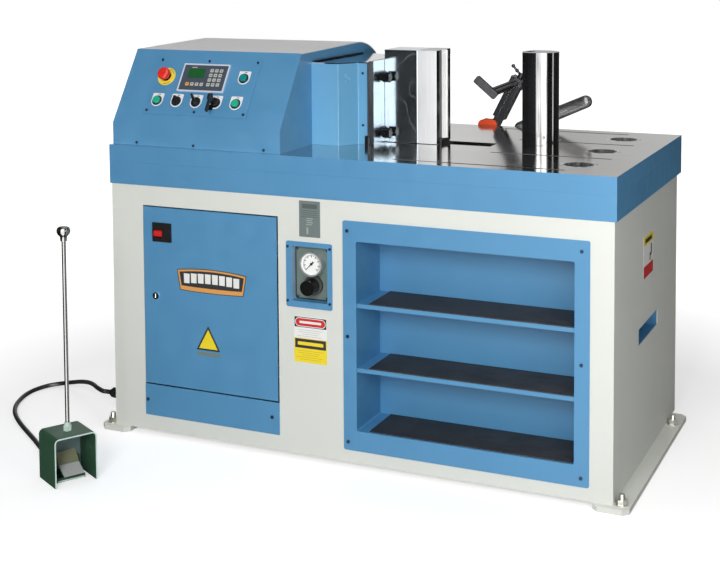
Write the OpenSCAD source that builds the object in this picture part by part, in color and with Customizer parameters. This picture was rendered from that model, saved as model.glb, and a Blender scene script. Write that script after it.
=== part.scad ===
// Horizontal press brake: hydraulic ram on a ground steel table, welded cabinet below,
// control hood, tool shelves, length stop and guarded foot switch. Millimetres, +Z up, floor at z = 0.
// Machine axes: x = 0 on the middle of the cabinet, y = 0 on the bending line, +x is the ram's working direction.

/* [Cabinet] */
// Width of the cabinet
cab_w = 1560; // [1400:10:1800]
// Depth of the cabinet
cab_d = 812; // [700:2:1000]
// Height of the cabinet above its floor plates
cab_h = 755; // [745:5:1000]
// Sheet thickness of cabinet, hood and covers
sheet_t = 3; // [2:0.5:4]
// Height of the fork slot in the cabinet side
lift_h = 48; // [30:1:60]
// Length of the fork slot in the cabinet side
lift_w = 248; // [150:1:250]

/* [Floor plates] */
// Thickness of the floor plates
foot_t = 15; // [10:1:25]
// Width of a floor plate
foot_w = 100; // [80:1:120]
// Length of a floor plate
foot_len = 800; // [650:5:800]
// Reach of a floor plate beyond the cabinet side
foot_out = 45; // [40:1:60]
// Thread diameter of the levelling bolts
anchor_d = 16; // [12:1:20]

/* [Table] */
// Thickness of the ground table plate
plate_t = 50; // [40:1:70]
// Height of the blue frame below the table plate
frame_h = 69; // [60:1:90]
// Reach of the table beyond each cabinet side
table_side = 6; // [2:1:15]
// Reach of the table beyond the cabinet's rear
table_back = 36; // [20:1:50]
// Bore of the tool bushes
bore_d = 82; // [60:1:90]
// Wall of a tool bush
bush_wall = 13; // [8:0.5:16]
// Distance of the row of tool bores from the table's middle
bore_x = 641; // [600:1:660]
// Pitch of the row of tool bores
bore_pitch = 263; // [200:1:300]
// Distance of the die post's bore from the table's middle
post_x = 454; // [440:1:480]
// Width of the groove strips in the table
groove_w = 12; // [8:1:16]

/* [Ram] */
// Working stroke of the ram
stroke = 140; // [80:5:140]
// Height of the ram face plate
ram_h = 254; // [200:2:260]
// Width of the ram face plate
ram_w = 290; // [240:2:300]
// Width of the guide slot in the table
slot_w = 70; // [40:1:80]
// Height of punch and tool block
tool_h = 283; // [250:1:320]
// Width of punch and tool block
tool_w = 120; // [90:2:140]
// Bore of the cylinder
cyl_bore = 120; // [90:1:140]
// Diameter of the piston rod
rod_d = 80; // [60:1:80]

/* [Hood] */
// Width of the hood
hood_w = 578; // [540:1:590]
// Height of the hood above the table
hood_h = 282; // [270:1:320]
// Height of the hood's upright front edge
hood_front = 66; // [50:1:80]
// Radius of the hood's round back
hood_r = 270; // [240:1:270]

/* [Front fittings] */
// Width of the control cabinet door
door_w = 456; // [420:1:470]
// Height of the control cabinet door
door_h = 544; // [480:1:545]
// Dark gap round the door
door_gap = 4; // [3:0.5:6]
// Clear width of the shelf opening
shelf_w = 633; // [560:1:640]
// Clear height of the shelf opening
shelf_h = 547; // [500:1:550]
// Depth of the shelf box
shelf_d = 170; // [120:1:220]
// Width of the face flange round the shelf opening
shelf_rim = 41; // [30:1:44]

/* [Foot switch] */
// Width of the foot guard
guard_w = 126; // [110:1:150]
// Depth of the foot guard
guard_d = 110; // [100:1:140]
// Height of the foot guard
guard_h = 138; // [120:1:150]
// Height of the carry rod's knob above the floor
rod_top = 716; // [500:5:800]

/* [Hidden] */
$fn = 64;
eps = 0.01;
run_fit = 0.05;   // radial clearance of a turning or sliding fit
loose_fit = 0.3;  // radial clearance of parts that only pass each other

// Colours
blue = [0.32, 0.58, 0.76];
cream = [0.86, 0.88, 0.84];
steel = [0.72, 0.72, 0.72];
dark = [0.10, 0.10, 0.11];
bright = [0.85, 0.86, 0.87];
green_cast = [0.12, 0.28, 0.20];

// Main levels and edges
front_y = -421;                                // cabinet front
back_y = front_y + cab_d;
side_x = cab_w / 2;
cab_top = foot_t + cab_h;
plate_z = cab_top + frame_h;                   // underside of the table plate
top_z = plate_z + plate_t;                     // table surface
table_x = side_x + table_side;
table_fy = front_y - 2;
table_by = back_y + table_back;

// Rounded rectangle, drawn from its middle
module round_rect(w, h, r) {
  square([w - 2 * r, h], center = true);
  square([w, h - 2 * r], center = true);
  for (x = [-1, 1], y = [-1, 1]) translate([x * (w / 2 - r), y * (h / 2 - r)]) circle(r);
}

// Block from corner a to corner b
module block(a, b) { translate(a) cube(b - a); }

// Extrusions along x and along y of an outline drawn in the (y, z) or (x, z) plane
module along_x(x0, x1) { translate([x0, 0, 0]) rotate([90, 0, 90]) linear_extrude(x1 - x0) children(); }
module along_y(y0, y1) { translate([0, y1, 0]) rotate([90, 0, 0]) linear_extrude(y1 - y0) children(); }

// Round bars
module bar_x(x0, x1, d) { translate([x0, 0, 0]) rotate([0, 90, 0]) cylinder(h = x1 - x0, d = d); }
module bar_y(y0, y1, d) { translate([0, y1, 0]) rotate([90, 0, 0]) cylinder(h = y1 - y0, d = d); }

// Everything is drawn in machine axes and set down from the origin here
module placed() { translate([0, line_y, 0]) children(); }

// ---- Cabinet ----------------------------------------------------------------------------------------------------
door_x1 = -211;                                // right edge of the door
door_x0 = door_x1 - door_w;
door_z1 = 706;
door_z0 = door_z1 - door_h;
open_x0 = door_x0 - 2;
open_x1 = door_x1 + door_gap;
open_z1 = door_z1 + door_gap;
open_z0 = door_z0 - 12;
panel_z0 = 62;                                 // lower panel
panel_z1 = door_z0 - door_gap;
jamb_d = 15;                                   // return flange of the latch side
cab_flange = 42;
shelf_x0 = 42;
shelf_x1 = shelf_x0 + shelf_w;
shelf_z0 = 110;
shelf_z1 = shelf_z0 + shelf_h;
gauge_x = -106.5;                              // middle of the gauge panel
gauge_z = 546;
gauge_w = 147;
gauge_h = 192;
pocket_w = 114;                                // recess of the gauge panel
pocket_h = 160;
pocket_d = 20;
pocket_x = -105;
pocket_z = 548;
lift_y = -7;
lift_z = 386;
gland_y = -385;                                // cabinet gland of the foot switch cable
gland_z = 98;
gland_d = 22;
rear_w = 1300;
rear_h = 600;
rear_z = 400;

module cabinet_outline(inset) {
  translate([0, (front_y + back_y) / 2]) square([cab_w - 2 * inset, cab_d - 2 * inset], center = true);
}

module cabinet_shell() {
  color(cream) {
    difference() {
      translate([0, 0, foot_t]) linear_extrude(cab_h) cabinet_outline(0);
      translate([0, 0, foot_t + sheet_t]) linear_extrude(cab_h - 2 * sheet_t) cabinet_outline(sheet_t);
      translate([0, 0, foot_t + sheet_t]) linear_extrude(cab_h) cabinet_outline(cab_flange);
      block([open_x0, front_y - 1, open_z0], [open_x1, front_y + sheet_t + 1, open_z1]);
      block([shelf_x0 - sheet_t - loose_fit, front_y - 1, shelf_z0 - sheet_t - loose_fit],
        [shelf_x1 + sheet_t + loose_fit, front_y + sheet_t + 1, shelf_z1 + sheet_t + loose_fit]);
      block([pocket_x - pocket_w / 2 - sheet_t - loose_fit, front_y - 1, pocket_z - pocket_h / 2 - sheet_t - loose_fit],
        [pocket_x + pocket_w / 2 + sheet_t + loose_fit, front_y + sheet_t + 1,
         pocket_z + pocket_h / 2 + sheet_t + loose_fit]);
      block([side_x - sheet_t - 1, lift_y - lift_w / 2, lift_z - lift_h / 2],
        [side_x + 1, lift_y + lift_w / 2, lift_z + lift_h / 2]);
      translate([0, gland_y, gland_z]) bar_x(-side_x - 1, -side_x + sheet_t + 1, gland_d);
      translate([0, 0, rear_z]) along_y(back_y - sheet_t - 1, back_y + 1) round_rect(rear_w - 60, rear_h - 60, 10);
    }
    // return flange behind which the latch cam turns
    block([open_x0 - sheet_t, front_y + sheet_t, open_z0], [open_x0, front_y + sheet_t + jamb_d, open_z1]);
    for (z = hinge_z) hinge_arm(z);
  }
}

hinge_z = [door_z0 + 88, door_z1 - 96];
hinge_x = door_x1 - 4;
hinge_y = front_y + 4.5;
hinge_pin = 5;
lug_h = 30;

// Gooseneck from the jamb round the door's edge to the hinge pin, one solid with its pin
module hinge_arm(z) {
  arm_t = 5;
  for (s = [-1, 1]) translate([0, 0, z + s * (lug_h / 2 + loose_fit + arm_t / 2) - arm_t / 2]) linear_extrude(arm_t) {
    translate([hinge_x - 7, hinge_y - 2.2]) square([7, 23]);
    translate([hinge_x, hinge_y]) circle(2.6);
    translate([hinge_x - 7, hinge_y + 16.8]) square([27, 4]);
    translate([hinge_x + 16, front_y + sheet_t]) square([4, 18.3]);
  }
  translate([0, 0, z - lug_h / 2 - arm_t]) linear_extrude(lug_h + 2 * arm_t)
    translate([hinge_x + 16, front_y + sheet_t]) square([4, 18.3]);
  translate([hinge_x, hinge_y, z - lug_h / 2 - arm_t]) cylinder(h = lug_h + 2 * arm_t, d = hinge_pin);
}

// Floor plates with cut corners
anchor_x = side_x + 20;
anchor_front = 33;                             // bolt position behind the plate's front end
anchor_back = 104;                             // and before its rear end
foot_y0 = front_y - 20;
foot_y1 = foot_y0 + foot_len;
anchor_y = [foot_y0 + anchor_front, foot_y1 - anchor_back];

module foot_plates() {
  c = 16;
  color(cream) for (s = [-1, 1]) difference() {
    translate([s * (side_x + foot_out - foot_w / 2), (foot_y0 + foot_y1) / 2, 0]) linear_extrude(foot_t)
      polygon([[-foot_w / 2 + c, -foot_len / 2], [foot_w / 2 - c, -foot_len / 2], [foot_w / 2, -foot_len / 2 + c],
        [foot_w / 2, foot_len / 2 - c], [foot_w / 2 - c, foot_len / 2], [-foot_w / 2 + c, foot_len / 2],
        [-foot_w / 2, foot_len / 2 - c], [-foot_w / 2, -foot_len / 2 + c]]);
    for (y = anchor_y) translate([s * anchor_x, y, -1]) cylinder(h = foot_t + 2, d = anchor_d + 2);
  }
}

// Levelling bolts: stud through the plate, washer and hexagon nut
module levelling_bolts() {
  washer_t = 3;
  nut_h = anchor_d * 0.85;
  nut_r = anchor_d * 0.9;
  color(bright) for (s = [-1, 1], y = anchor_y) translate([s * anchor_x, y, 0]) {
    cylinder(h = foot_t + washer_t + nut_h + 14, d = anchor_d);
    translate([0, 0, foot_t]) cylinder(h = washer_t, d = anchor_d * 2);
    translate([0, 0, foot_t + washer_t]) cylinder(h = nut_h, r = nut_r, $fn = 6);
  }
}

// Rear access panel with punched vents
module rear_panel() {
  color(cream) translate([0, 0, rear_z]) difference() {
    along_y(back_y, back_y + 2) round_rect(rear_w, rear_h, 12);
    for (sx = [-1, 1], i = [0:9]) translate([sx * 420, 0, -150 + i * 22])
      along_y(back_y - 1, back_y + 3) round_rect(180, 8, 4);
    for (x = [-1, 0, 1], z = [-1, 1]) translate([x * (rear_w / 2 - 14), 0, z * (rear_h / 2 - 14)])
      bar_y(back_y - 1, back_y + 3, 7);
  }
}

// Blue steel pocket behind the fork slot
module lift_pocket() {
  depth = 60;
  x1 = side_x - sheet_t;
  color(blue) difference() {
    block([x1 - depth, lift_y - lift_w / 2 - 6, lift_z - lift_h / 2 - 6], [x1, lift_y + lift_w / 2 + 6, lift_z + lift_h / 2 + 6]);
    block([x1 - depth + 4, lift_y - lift_w / 2 - 2, lift_z - lift_h / 2 - 2],
      [x1 + 1, lift_y + lift_w / 2 + 2, lift_z + lift_h / 2 + 2]);
  }
}

// ---- Table ------------------------------------------------------------------------------------------------------
bush_d = bore_d + 2 * bush_wall;
bore_at = [[bore_x, -bore_pitch], [bore_x, 0], [bore_x, bore_pitch], [post_x, 0]];
way_x1 = stroke + 168;
way_w = ram_w - 13;
way_t = 20;
slot_x0 = -60;
slot_deep = 40;                                // depth of the slot below the table surface
inner_groove = [344, 702, (way_w + 1) / 2];                // x from, x to, distance from the bending line
outer_groove = [130, 632, 368];
groove_d = 8;
groove_pitch = 160;
beam_t = 20;

module table_frame() {
  color(blue) translate([0, 0, cab_top]) linear_extrude(frame_h) {
    difference() {
      translate([-table_x, table_fy]) square([2 * table_x, table_by - table_fy]);
      translate([-table_x + beam_t, table_fy + beam_t])
        square([2 * (table_x - beam_t), table_by - table_fy - 2 * beam_t]);
    }
    for (x = [-240, 80, 560]) translate([x, table_fy + beam_t]) square([12, table_by - table_fy - 2 * beam_t]);
  }
}

module groove(x0, x1, y) {
  translate([(x0 + x1) / 2, y, top_z - groove_d]) linear_extrude(groove_d + 1) round_rect(x1 - x0, groove_w, groove_w / 2 - eps);
  for (x = [x1 - 20:-groove_pitch:x0 + 8]) translate([x, y, top_z - groove_d - 12]) cylinder(h = 14, d = 10);
}

module table_plate() {
  color(steel) difference() {
    translate([-table_x, table_fy, plate_z]) cube([2 * table_x, table_by - table_fy, plate_t]);
    for (b = bore_at) translate([b[0], b[1], plate_z - 1]) cylinder(h = plate_t + 2, d = bush_d);
    block([way_x0, -way_w / 2, top_z - way_t], [way_x1, way_w / 2, top_z + 1]);
    block([slot_x0, -slot_w / 2, top_z - slot_deep], [way_x1, slot_w / 2, top_z]);
    for (s = [-1, 1]) {
      groove(inner_groove[0], inner_groove[1], s * inner_groove[2]);
      groove(outer_groove[0], outer_groove[1], s * outer_groove[2]);
    }
  }
}

// Hardened bushes, and the way plate that the ram runs on
module table_inserts() {
  color(bright) {
    for (b = bore_at) translate([b[0], b[1], plate_z]) difference() {
      cylinder(h = plate_t, d = bush_d);
      translate([0, 0, -1]) cylinder(h = plate_t + 2, d = bore_d);
    }
    difference() {
      block([way_x0, -way_w / 2, top_z - way_t], [way_x1, way_w / 2, top_z]);
      block([slot_x0, -slot_w / 2, top_z - way_t - 1], [way_x1 + 1, slot_w / 2, top_z + 1]);
    }
  }
}

// ---- Hood -------------------------------------------------------------------------------------------------------
hood_x0 = -table_x;
hood_x1 = hood_x0 + hood_w;
way_x0 = hood_x1 - 32;                         // the way plate begins under the hood
hood_y0 = -401;
hood_ys = -258;                                // front edge of the lid
hood_y1 = table_by - 7;
hood_top = top_z + hood_h;
hood_rise = 8;                                 // the lid rises towards its round back
hood_kink = top_z + hood_front;
hood_lean = atan((hood_ys - hood_y0) / (hood_top - hood_kink));

// Side profile of the hood in the (y, z) plane, set inwards by t
module hood_profile(t) {
  zt = hood_top - t;
  ys = hood_ys + t * tan((90 - hood_lean) / 2);
  yb = hood_y1 - t;
  r = min(hood_r, hood_h - 12) - t;
  zb = zt + hood_rise;
  polygon([[hood_y0 + t, top_z], [hood_y0 + t, hood_kink - t * tan(hood_lean / 2)], [ys, zt], [yb - r, zb], [yb - r, top_z]]);
  translate([yb - r, top_z]) square([r, zb - r - top_z]);
  translate([yb - r, zb - r]) intersection() {
    circle(r, $fn = 128);
    square(r + 1);
  }
}

module hood_wall() {
  difference() {
    hood_profile(0);
    hood_profile(sheet_t);
  }
}

ram_gap = 3;
ram_body_w = ram_w - 34;                      // behind the face plate
ram_back = hood_x1 - 92;                       // rear end of the ram
ram_z0 = top_z + 0.5;
ram_body_h = ram_h - 10;

// The hood's local frame on its slope: x across, z up the slope, -y outwards
module on_slope() { translate([0, hood_y0, hood_kink]) rotate([-hood_lean, 0, 0]) children(); }

panel_x = hood_x0 + 276;
panel_w = 360;
panel_v0 = 34;
panel_v1 = 233;
panel_t = 2;
screen_x = panel_x - 1;
screen_v = 161;
screen_w = 162;
screen_h = 96;
row_v = 80;
row_pitch = 68.6;
button_row = [for (i = [0:4]) panel_x - 142 + i * row_pitch];
device_d = 24;                                 // outer size of a button's cap
collar_d = 30;
estop_x = panel_x - 135;
estop_v = 163;
top_button_x = panel_x + 135;
top_button_v = 166;
// Devices of the panel: x, height on the slope, diameter of the cap
devices = [[button_row[0], row_v, device_d], [button_row[1], row_v, device_d], [button_row[2], row_v, device_d],
  [button_row[3], row_v, device_d], [button_row[4], row_v, device_d], [top_button_x, top_button_v, device_d],
  [estop_x, estop_v, 22]];

module hood_shell() {
  color(blue) {
    difference() {
      along_x(hood_x0, hood_x1) intersection() {
        hood_wall();
        translate([hood_y0 - 1, top_z - 1]) square([hood_ys - hood_y0 + 1, hood_h + 20]);
      }
      on_slope() block([panel_x - panel_w / 2 + 12, -1, panel_v0 + 10], [panel_x + panel_w / 2 - 12, 10, panel_v1 - 10]);
    }
    difference() {
      for (x = [hood_x0, hood_x1 - sheet_t]) along_x(x, x + sheet_t) hood_profile(sheet_t);
      block([hood_x1 - 10, -ram_body_w / 2 - ram_gap, top_z - 1],
        [hood_x1 + 10, ram_body_w / 2 + ram_gap, ram_z0 + ram_body_h + ram_gap]);
    }
  }
}

module hood_lid() {
  color(steel) along_x(hood_x0, hood_x1) intersection() {
    hood_wall();
    translate([hood_ys, top_z]) square([hood_y1 - hood_ys + 1, hood_h + 20]);
  }
}

module control_panel() {
  color(blue) on_slope() difference() {
    block([panel_x - panel_w / 2, -panel_t, panel_v0], [panel_x + panel_w / 2, 0, panel_v1]);
    block([screen_x - screen_w / 2 + 4, -5, screen_v - screen_h / 2 + 4], [screen_x + screen_w / 2 - 4, 5, screen_v + screen_h / 2 - 4]);
    for (d = devices) translate([d[0], 0, d[1]]) bar_y(-5, 5, d[2] + 4);
  }
}

// Collars and contact blocks of the push buttons and selectors
module device_collars() {
  depth = 22;
  color(bright) on_slope() for (d = devices) translate([d[0], 0, d[1]]) difference() {
    union() {
      bar_y(-panel_t - 3, -panel_t, d[2] + 8);
      bar_y(-panel_t, depth, d[2] + 3);
      block([-15, depth, -18], [15, depth + 34, 18]);
    }
    bar_y(-10, depth, d[2] + 2 * run_fit);
  }
}

// Operator display: bezel and keypad in one moulded case
module operator_display() {
  color(steel) on_slope() translate([screen_x, 0, screen_v]) difference() {
    union() {
      along_y(-panel_t - 6, -panel_t) round_rect(screen_w, screen_h, 3);
      along_y(-panel_t, 30) round_rect(screen_w - 9, screen_h - 9, 2);
    }
    along_y(-panel_t - 7, -panel_t - 5) round_rect(screen_w - 10, screen_h - 10, 2);
  }
}

// ---- Ram cover --------------------------------------------------------------------------------------------------
cheek_in = ram_body_w / 2 + ram_gap + 5;       // outer faces of the cover's narrow front
cheek_out = cheek_in + 57;                     // and of its wide rear part
cheek = [[hood_x1, -cheek_out], [-118, -cheek_out], [-78, -cheek_in], [-45, -cheek_in]];
cover_z1 = ram_z0 + ram_body_h + ram_gap;

// Outline of the cover, from its corner points mirrored about the bending line
module cover_outline() {
  mirrored = [for (i = [len(cheek) - 1:-1:0]) [cheek[i][0], -cheek[i][1]]];
  polygon(concat(cheek, mirrored));
}

module ram_cover() {
  color(blue) translate([0, 0, top_z]) difference() {
    linear_extrude(cover_z1 - top_z) cover_outline();
    block([hood_x1 - 1, -ram_body_w / 2 - ram_gap, -1], [10, ram_body_w / 2 + ram_gap, 400]);
    for (s = [-1, 1]) translate([0, 0, -1]) linear_extrude(400)
      polygon([[hood_x1 - 1, s * 50], [hood_x1 - 1, s * (cheek_out - sheet_t)], [-119.6, s * (cheek_out - sheet_t)],
        [-82, s * (cheek_in + 0.4)], [-82, s * 50]]);
  }
}

module ram_roof() {
  color(steel) translate([0, 0, cover_z1]) linear_extrude(sheet_t) intersection() {
    cover_outline();
    translate([hood_x1 + 2, -300]) square([400, 600]);
  }
}

// ---- Ram and cylinder -------------------------------------------------------------------------------------------
face_x0 = -39;
face_t = 16;
face_x1 = face_x0 + face_t;
cyl_x0 = hood_x0 + 51;
cyl_x1 = hood_x1 - 137;
cyl_z = ram_z0 + ram_body_h / 2 + 3;
cyl_wall = 20;
cap_t = 40;

module ram_body() {
  color(steel) {
    block([ram_back, -ram_body_w / 2, ram_z0], [face_x0, ram_body_w / 2, ram_z0 + ram_body_h]);
    difference() {
      along_x(face_x0, face_x1) translate([0, ram_z0 + ram_h / 2]) round_rect(ram_w, ram_h, 3);
      for (z = knob_z) translate([0, knob_y, z]) bar_x(face_x0 - 1, face_x1 + 1, knob_stem + 2 * run_fit);
    }
  }
}

// Cylinder: tube, end caps and the saddle that bolts it to the table
module cylinder_barrel() {
  color(dark) {
    difference() {
      union() {
        translate([0, 0, cyl_z]) bar_x(cyl_x0, cyl_x1, cyl_bore + 2 * cyl_wall);
        for (x = [cyl_x0, cyl_x1 - cap_t]) block([x, -cyl_bore / 2 - 30, top_z], [x + cap_t, cyl_bore / 2 + 30, cyl_z + cyl_bore / 2 + 30]);
      }
      translate([0, 0, cyl_z]) bar_x(cyl_x0 + cap_t, cyl_x1 - cap_t, cyl_bore);
      translate([0, 0, cyl_z]) bar_x(cyl_x0 + cap_t, cyl_x1 + 1, rod_d + 2 * run_fit);
    }
  }
}

module piston_rod() {
  piston_l = 40;
  x0 = cyl_x0 + cap_t + 5;
  color(bright) translate([0, 0, cyl_z]) {
    bar_x(x0, x0 + piston_l, cyl_bore - 2 * run_fit);
    bar_x(x0 + piston_l, ram_back, rod_d);
  }
}

block_x1 = 85;
punch_x1 = 147;
nose_out = 14;
nose_half = 16;
key_top = 15;                                  // height of the black key's stop above the table

module tool_block() {
  color(dark) translate([(face_x1 + block_x1) / 2, 0, ram_z0 + 1]) linear_extrude(tool_h)
    round_rect(block_x1 - face_x1, tool_w, 1.5);
}

// Punch with a blunt vertical nose
module punch() {
  color(bright) difference() {
    translate([0, 0, ram_z0 + 1]) linear_extrude(tool_h) {
      translate([(block_x1 + punch_x1) / 2, 0]) round_rect(punch_x1 - block_x1, tool_w, 1);
      polygon([[punch_x1 - 2, -nose_half - 2], [punch_x1 + nose_out - 3, -3], [punch_x1 + nose_out - 3, 3], [punch_x1 - 2, nose_half + 2]]);
      translate([punch_x1 + nose_out - 4.2, 0]) circle(4.2);
    }
    block([punch_x1 + loose_fit, -tool_w, top_z - 1], [punch_x1 + 40, tool_w, top_z + key_top + loose_fit]);
  }
}

// Black key under the tools: runs in the table slot and stands up under the nose
module guide_key() {
  key_w = slot_w - 1;
  color(dark) {
    block([40, -key_w / 2, top_z - 17], [punch_x1 + 6, key_w / 2, ram_z0 + 1]);
    block([punch_x1 + loose_fit, -key_w / 2, ram_z0 + 1], [punch_x1 + 6, key_w / 2, top_z + key_top]);
  }
}

knob_y = -tool_w / 2 - 26;
knob_z = [top_z + 31, top_z + ram_h - 52];
knob_stem = 12;

// Lobed hand knob that turns on the ram's face plate
module tool_knob(z) {
  color(dark) translate([0, knob_y, z]) {
    bar_x(face_x0 + 1, face_x1 + 8, knob_stem);
    along_x(face_x1 + loose_fit, face_x1 + 7) circle(9);
    along_x(face_x1 + 6, face_x1 + 30) {
      circle(11.5);
      for (i = [0:4]) rotate(i * 72) translate([11, 0]) circle(5);
    }
  }
}
module tool_knob_upper() { tool_knob(knob_z[1]); }
module tool_knob_lower() { tool_knob(knob_z[0]); }

// ---- Die post ---------------------------------------------------------------------------------------------------
post_r = 54;
post_h = 286;
post_back = 40;

module die_post() {
  vee = 26;
  color(bright) {
    translate([post_x, 0, top_z]) linear_extrude(post_h) difference() {
      union() {
        circle(post_r);
        translate([-post_back, -post_r]) square([post_back, 2 * post_r]);
      }
      polygon([[-post_back - 1, -vee - 1], [-post_back + vee - 2, -2], [-post_back + vee - 2, 2], [-post_back - 1, vee + 1]]);
    }
    translate([post_x, 0, plate_z + 5]) cylinder(h = plate_t - 5, d = bore_d - 0.2);
    for (z = [46, 180, 255]) translate([post_x, 0, top_z + z]) rotate([0, 0, 62]) bar_x(post_r - 1, post_r + 4, 10);
  }
}

// ---- Shelf box --------------------------------------------------------------------------------------------------
shelf_at = [292, 478];
shelf_t = 2.5;

module shelf_box() {
  xm = (shelf_x0 + shelf_x1) / 2;
  zm = (shelf_z0 + shelf_z1) / 2;
  color(blue) {
    difference() {
      union() {
        translate([xm, 0, zm]) along_y(front_y - sheet_t, front_y) round_rect(shelf_w + 2 * shelf_rim, shelf_h + 2 * 58, 6);
        translate([xm, 0, zm]) along_y(front_y, front_y + shelf_d) square([shelf_w + 2 * sheet_t, shelf_h + 2 * sheet_t], center = true);
      }
      translate([xm, 0, zm]) along_y(front_y - sheet_t - 1, front_y + shelf_d - sheet_t) round_rect(shelf_w, shelf_h, 6);
      for (x = shelf_screw_x, z = shelf_screw_z) translate([x, 0, z]) bar_y(front_y - sheet_t - 1, front_y, 6.2);
    }
    for (z = shelf_at) {
      block([shelf_x0, front_y + 2, z - shelf_t], [shelf_x1, front_y + shelf_d - sheet_t, z]);
      block([shelf_x0, front_y + 2, z - 12], [shelf_x1, front_y + 2 + shelf_t, z - shelf_t]);
    }
  }
}
shelf_screw_x = [shelf_x0 - 27, shelf_x1 + 19];
shelf_screw_z = [shelf_z0 - 34, (shelf_z0 + shelf_z1) / 2 - 1.5, shelf_z1 + 29];

module shelf_mats() {
  color(dark) for (z = concat([shelf_z0], shelf_at))
    block([shelf_x0 + 36, front_y + 4, z], [shelf_x1 - 8, front_y + shelf_d - sheet_t - 6, z + 3]);
}

// ---- Door, lower panel and main switch --------------------------------------------------------------------------
door_y0 = front_y - 1;
door_t = 2;
return_d = 18;
latch_x = door_x0 + 41;
latch_z = (door_z0 + door_z1) / 2 + 0.5;
latch_d = 22;
cam_y = front_y + sheet_t + jamb_d + 0.5;      // the cam turns behind the return flange
switch_x = door_x0 + 66;
switch_z = door_z1 - 75;

module door() {
  color(blue) difference() {
    union() {
      block([door_x0, door_y0, door_z0], [door_x1, door_y0 + door_t, door_z1]);
      block([door_x0, door_y0 + door_t, door_z0], [door_x0 + door_t, door_y0 + return_d, door_z1]);
      for (z = [door_z0, door_z1 - door_t])
        block([door_x0, door_y0 + door_t, z], [door_x1 - 10, door_y0 + return_d, z + door_t]);
      for (z = hinge_z)
        block([hinge_x - 4, door_y0 + door_t, z - lug_h / 2], [hinge_x + 4, hinge_y + 5.5, z + lug_h / 2]);
    }
    for (z = hinge_z) translate([hinge_x, hinge_y, z - lug_h]) cylinder(h = 2 * lug_h, r = hinge_pin / 2 + run_fit);
    translate([latch_x, 0, latch_z]) bar_y(door_y0 - 1, door_y0 + 5, latch_d - 4 + 2 * run_fit);
    block([switch_x - 32, door_y0 - 1, switch_z - 22], [switch_x + 25, door_y0 + 5, switch_z + 22]);
  }
}

// Quarter-turn latch, drawn open with its cam hanging down
module door_latch() {
  color(bright) translate([latch_x, 0, latch_z]) difference() {
    union() {
      bar_y(door_y0 - 3, door_y0 - 0.1, latch_d);
      bar_y(door_y0 - 0.1, cam_y, latch_d - 4);
      block([-8, cam_y, -50], [8, cam_y + 3, 8]);
    }
    block([-1.5, door_y0 - 4, -6], [1.5, door_y0 - 1.5, 6]);
  }
}

rocker_x = switch_x - 13;
rocker_z = switch_z - 5;

module main_switch() {
  color(dark) translate([switch_x, 0, switch_z]) difference() {
    union() {
      along_y(door_y0 - 4, door_y0) round_rect(66, 58, 2);
      block([-31, door_y0, -21], [24, door_y0 + 28, 21]);
    }
    translate([-13, 0, -5]) block([-15, door_y0 - 5, -12], [15, door_y0 + 20, 12]);
    translate([-13, door_y0 + 4, -5]) bar_x(-17, 17, 4 + 2 * run_fit);
  }
}

// Rocker on a cross pin inside the switch frame
module switch_rocker() {
  color([0.75, 0.08, 0.06]) translate([rocker_x, door_y0 + 4, rocker_z]) {
    bar_x(-16.5, 16.5, 4);
    intersection() {
      bar_x(-14.5, 14.5, 22);
      block([-15, -9.8, -11], [15, 6, 11]);
    }
  }
}

module lower_panel() {
  color(blue) difference() {
    block([open_x0, front_y - 2, panel_z0], [open_x1, front_y, panel_z1]);
    for (p = lower_screws) translate([p[0], 0, p[1]]) bar_y(front_y - 3, front_y + 1, 6.2);
  }
}
lower_screws = [[door_x0 + 7, panel_z0 + 48], [door_x1 - 20, panel_z0 + 51]];

// ---- Gauge panel ------------------------------------------------------------------------------------------------
dial_x = -98;
dial_z = 580;
dial_d = 63;
reg_x = -100;
reg_z = 515;
gauge_screws = [[-174.5, 626], [-39, 628], [-175, 467], [-40, 469]];

// Pressed frame with a recess
module gauge_frame() {
  color(blue) difference() {
    union() {
      translate([gauge_x, 0, gauge_z]) along_y(front_y - 3, front_y) round_rect(gauge_w, gauge_h, 6);
      translate([pocket_x, 0, pocket_z]) along_y(front_y, front_y + pocket_d + 2) round_rect(pocket_w + 4, pocket_h + 4, 4);
    }
    translate([pocket_x, 0, pocket_z]) along_y(front_y - 4, front_y + pocket_d) round_rect(pocket_w, pocket_h, 4);
    for (p = gauge_screws) translate([p[0], 0, p[1]]) bar_y(front_y - 4, front_y, 5);
    translate([dial_x, 0, dial_z]) bar_y(front_y, front_y + pocket_d + 3, 30);
    translate([reg_x, 0, reg_z]) bar_y(front_y, front_y + pocket_d + 3, 30);
  }
}

module gauge_plate() {
  y1 = front_y + pocket_d;
  color([0.45, 0.50, 0.45]) difference() {
    translate([pocket_x, 0, pocket_z]) along_y(y1 - 2, y1) round_rect(pocket_w - 4, pocket_h - 4, 3);
    translate([dial_x, 0, dial_z]) bar_y(y1 - 3, y1 + 1, 30);
    translate([reg_x, 0, reg_z]) bar_y(y1 - 3, y1 + 1, 30);
  }
}

// Pressure gauge case with a bezel, and the regulator's body behind its knob
module gauge_body() {
  y1 = front_y + pocket_d - 2;
  color(bright) {
    translate([dial_x, 0, dial_z]) difference() {
      union() {
        bar_y(front_y - 6, y1, dial_d + 5);
        bar_y(front_y - 9, front_y - 6, dial_d + 9);
        bar_y(y1, y1 + 34, 14);
      }
      bar_y(front_y - 10, front_y - 2, dial_d);
      bar_y(front_y - 10, front_y + 2, 4 + 2 * run_fit);
    }
    translate([reg_x, 0, reg_z]) difference() {
      union() {
        bar_y(y1 - 10, y1, 58);
        bar_y(y1, y1 + 40, 28);
      }
      bar_y(y1 - 11, y1 + 30, 12 + 2 * run_fit);
    }
  }
}

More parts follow.
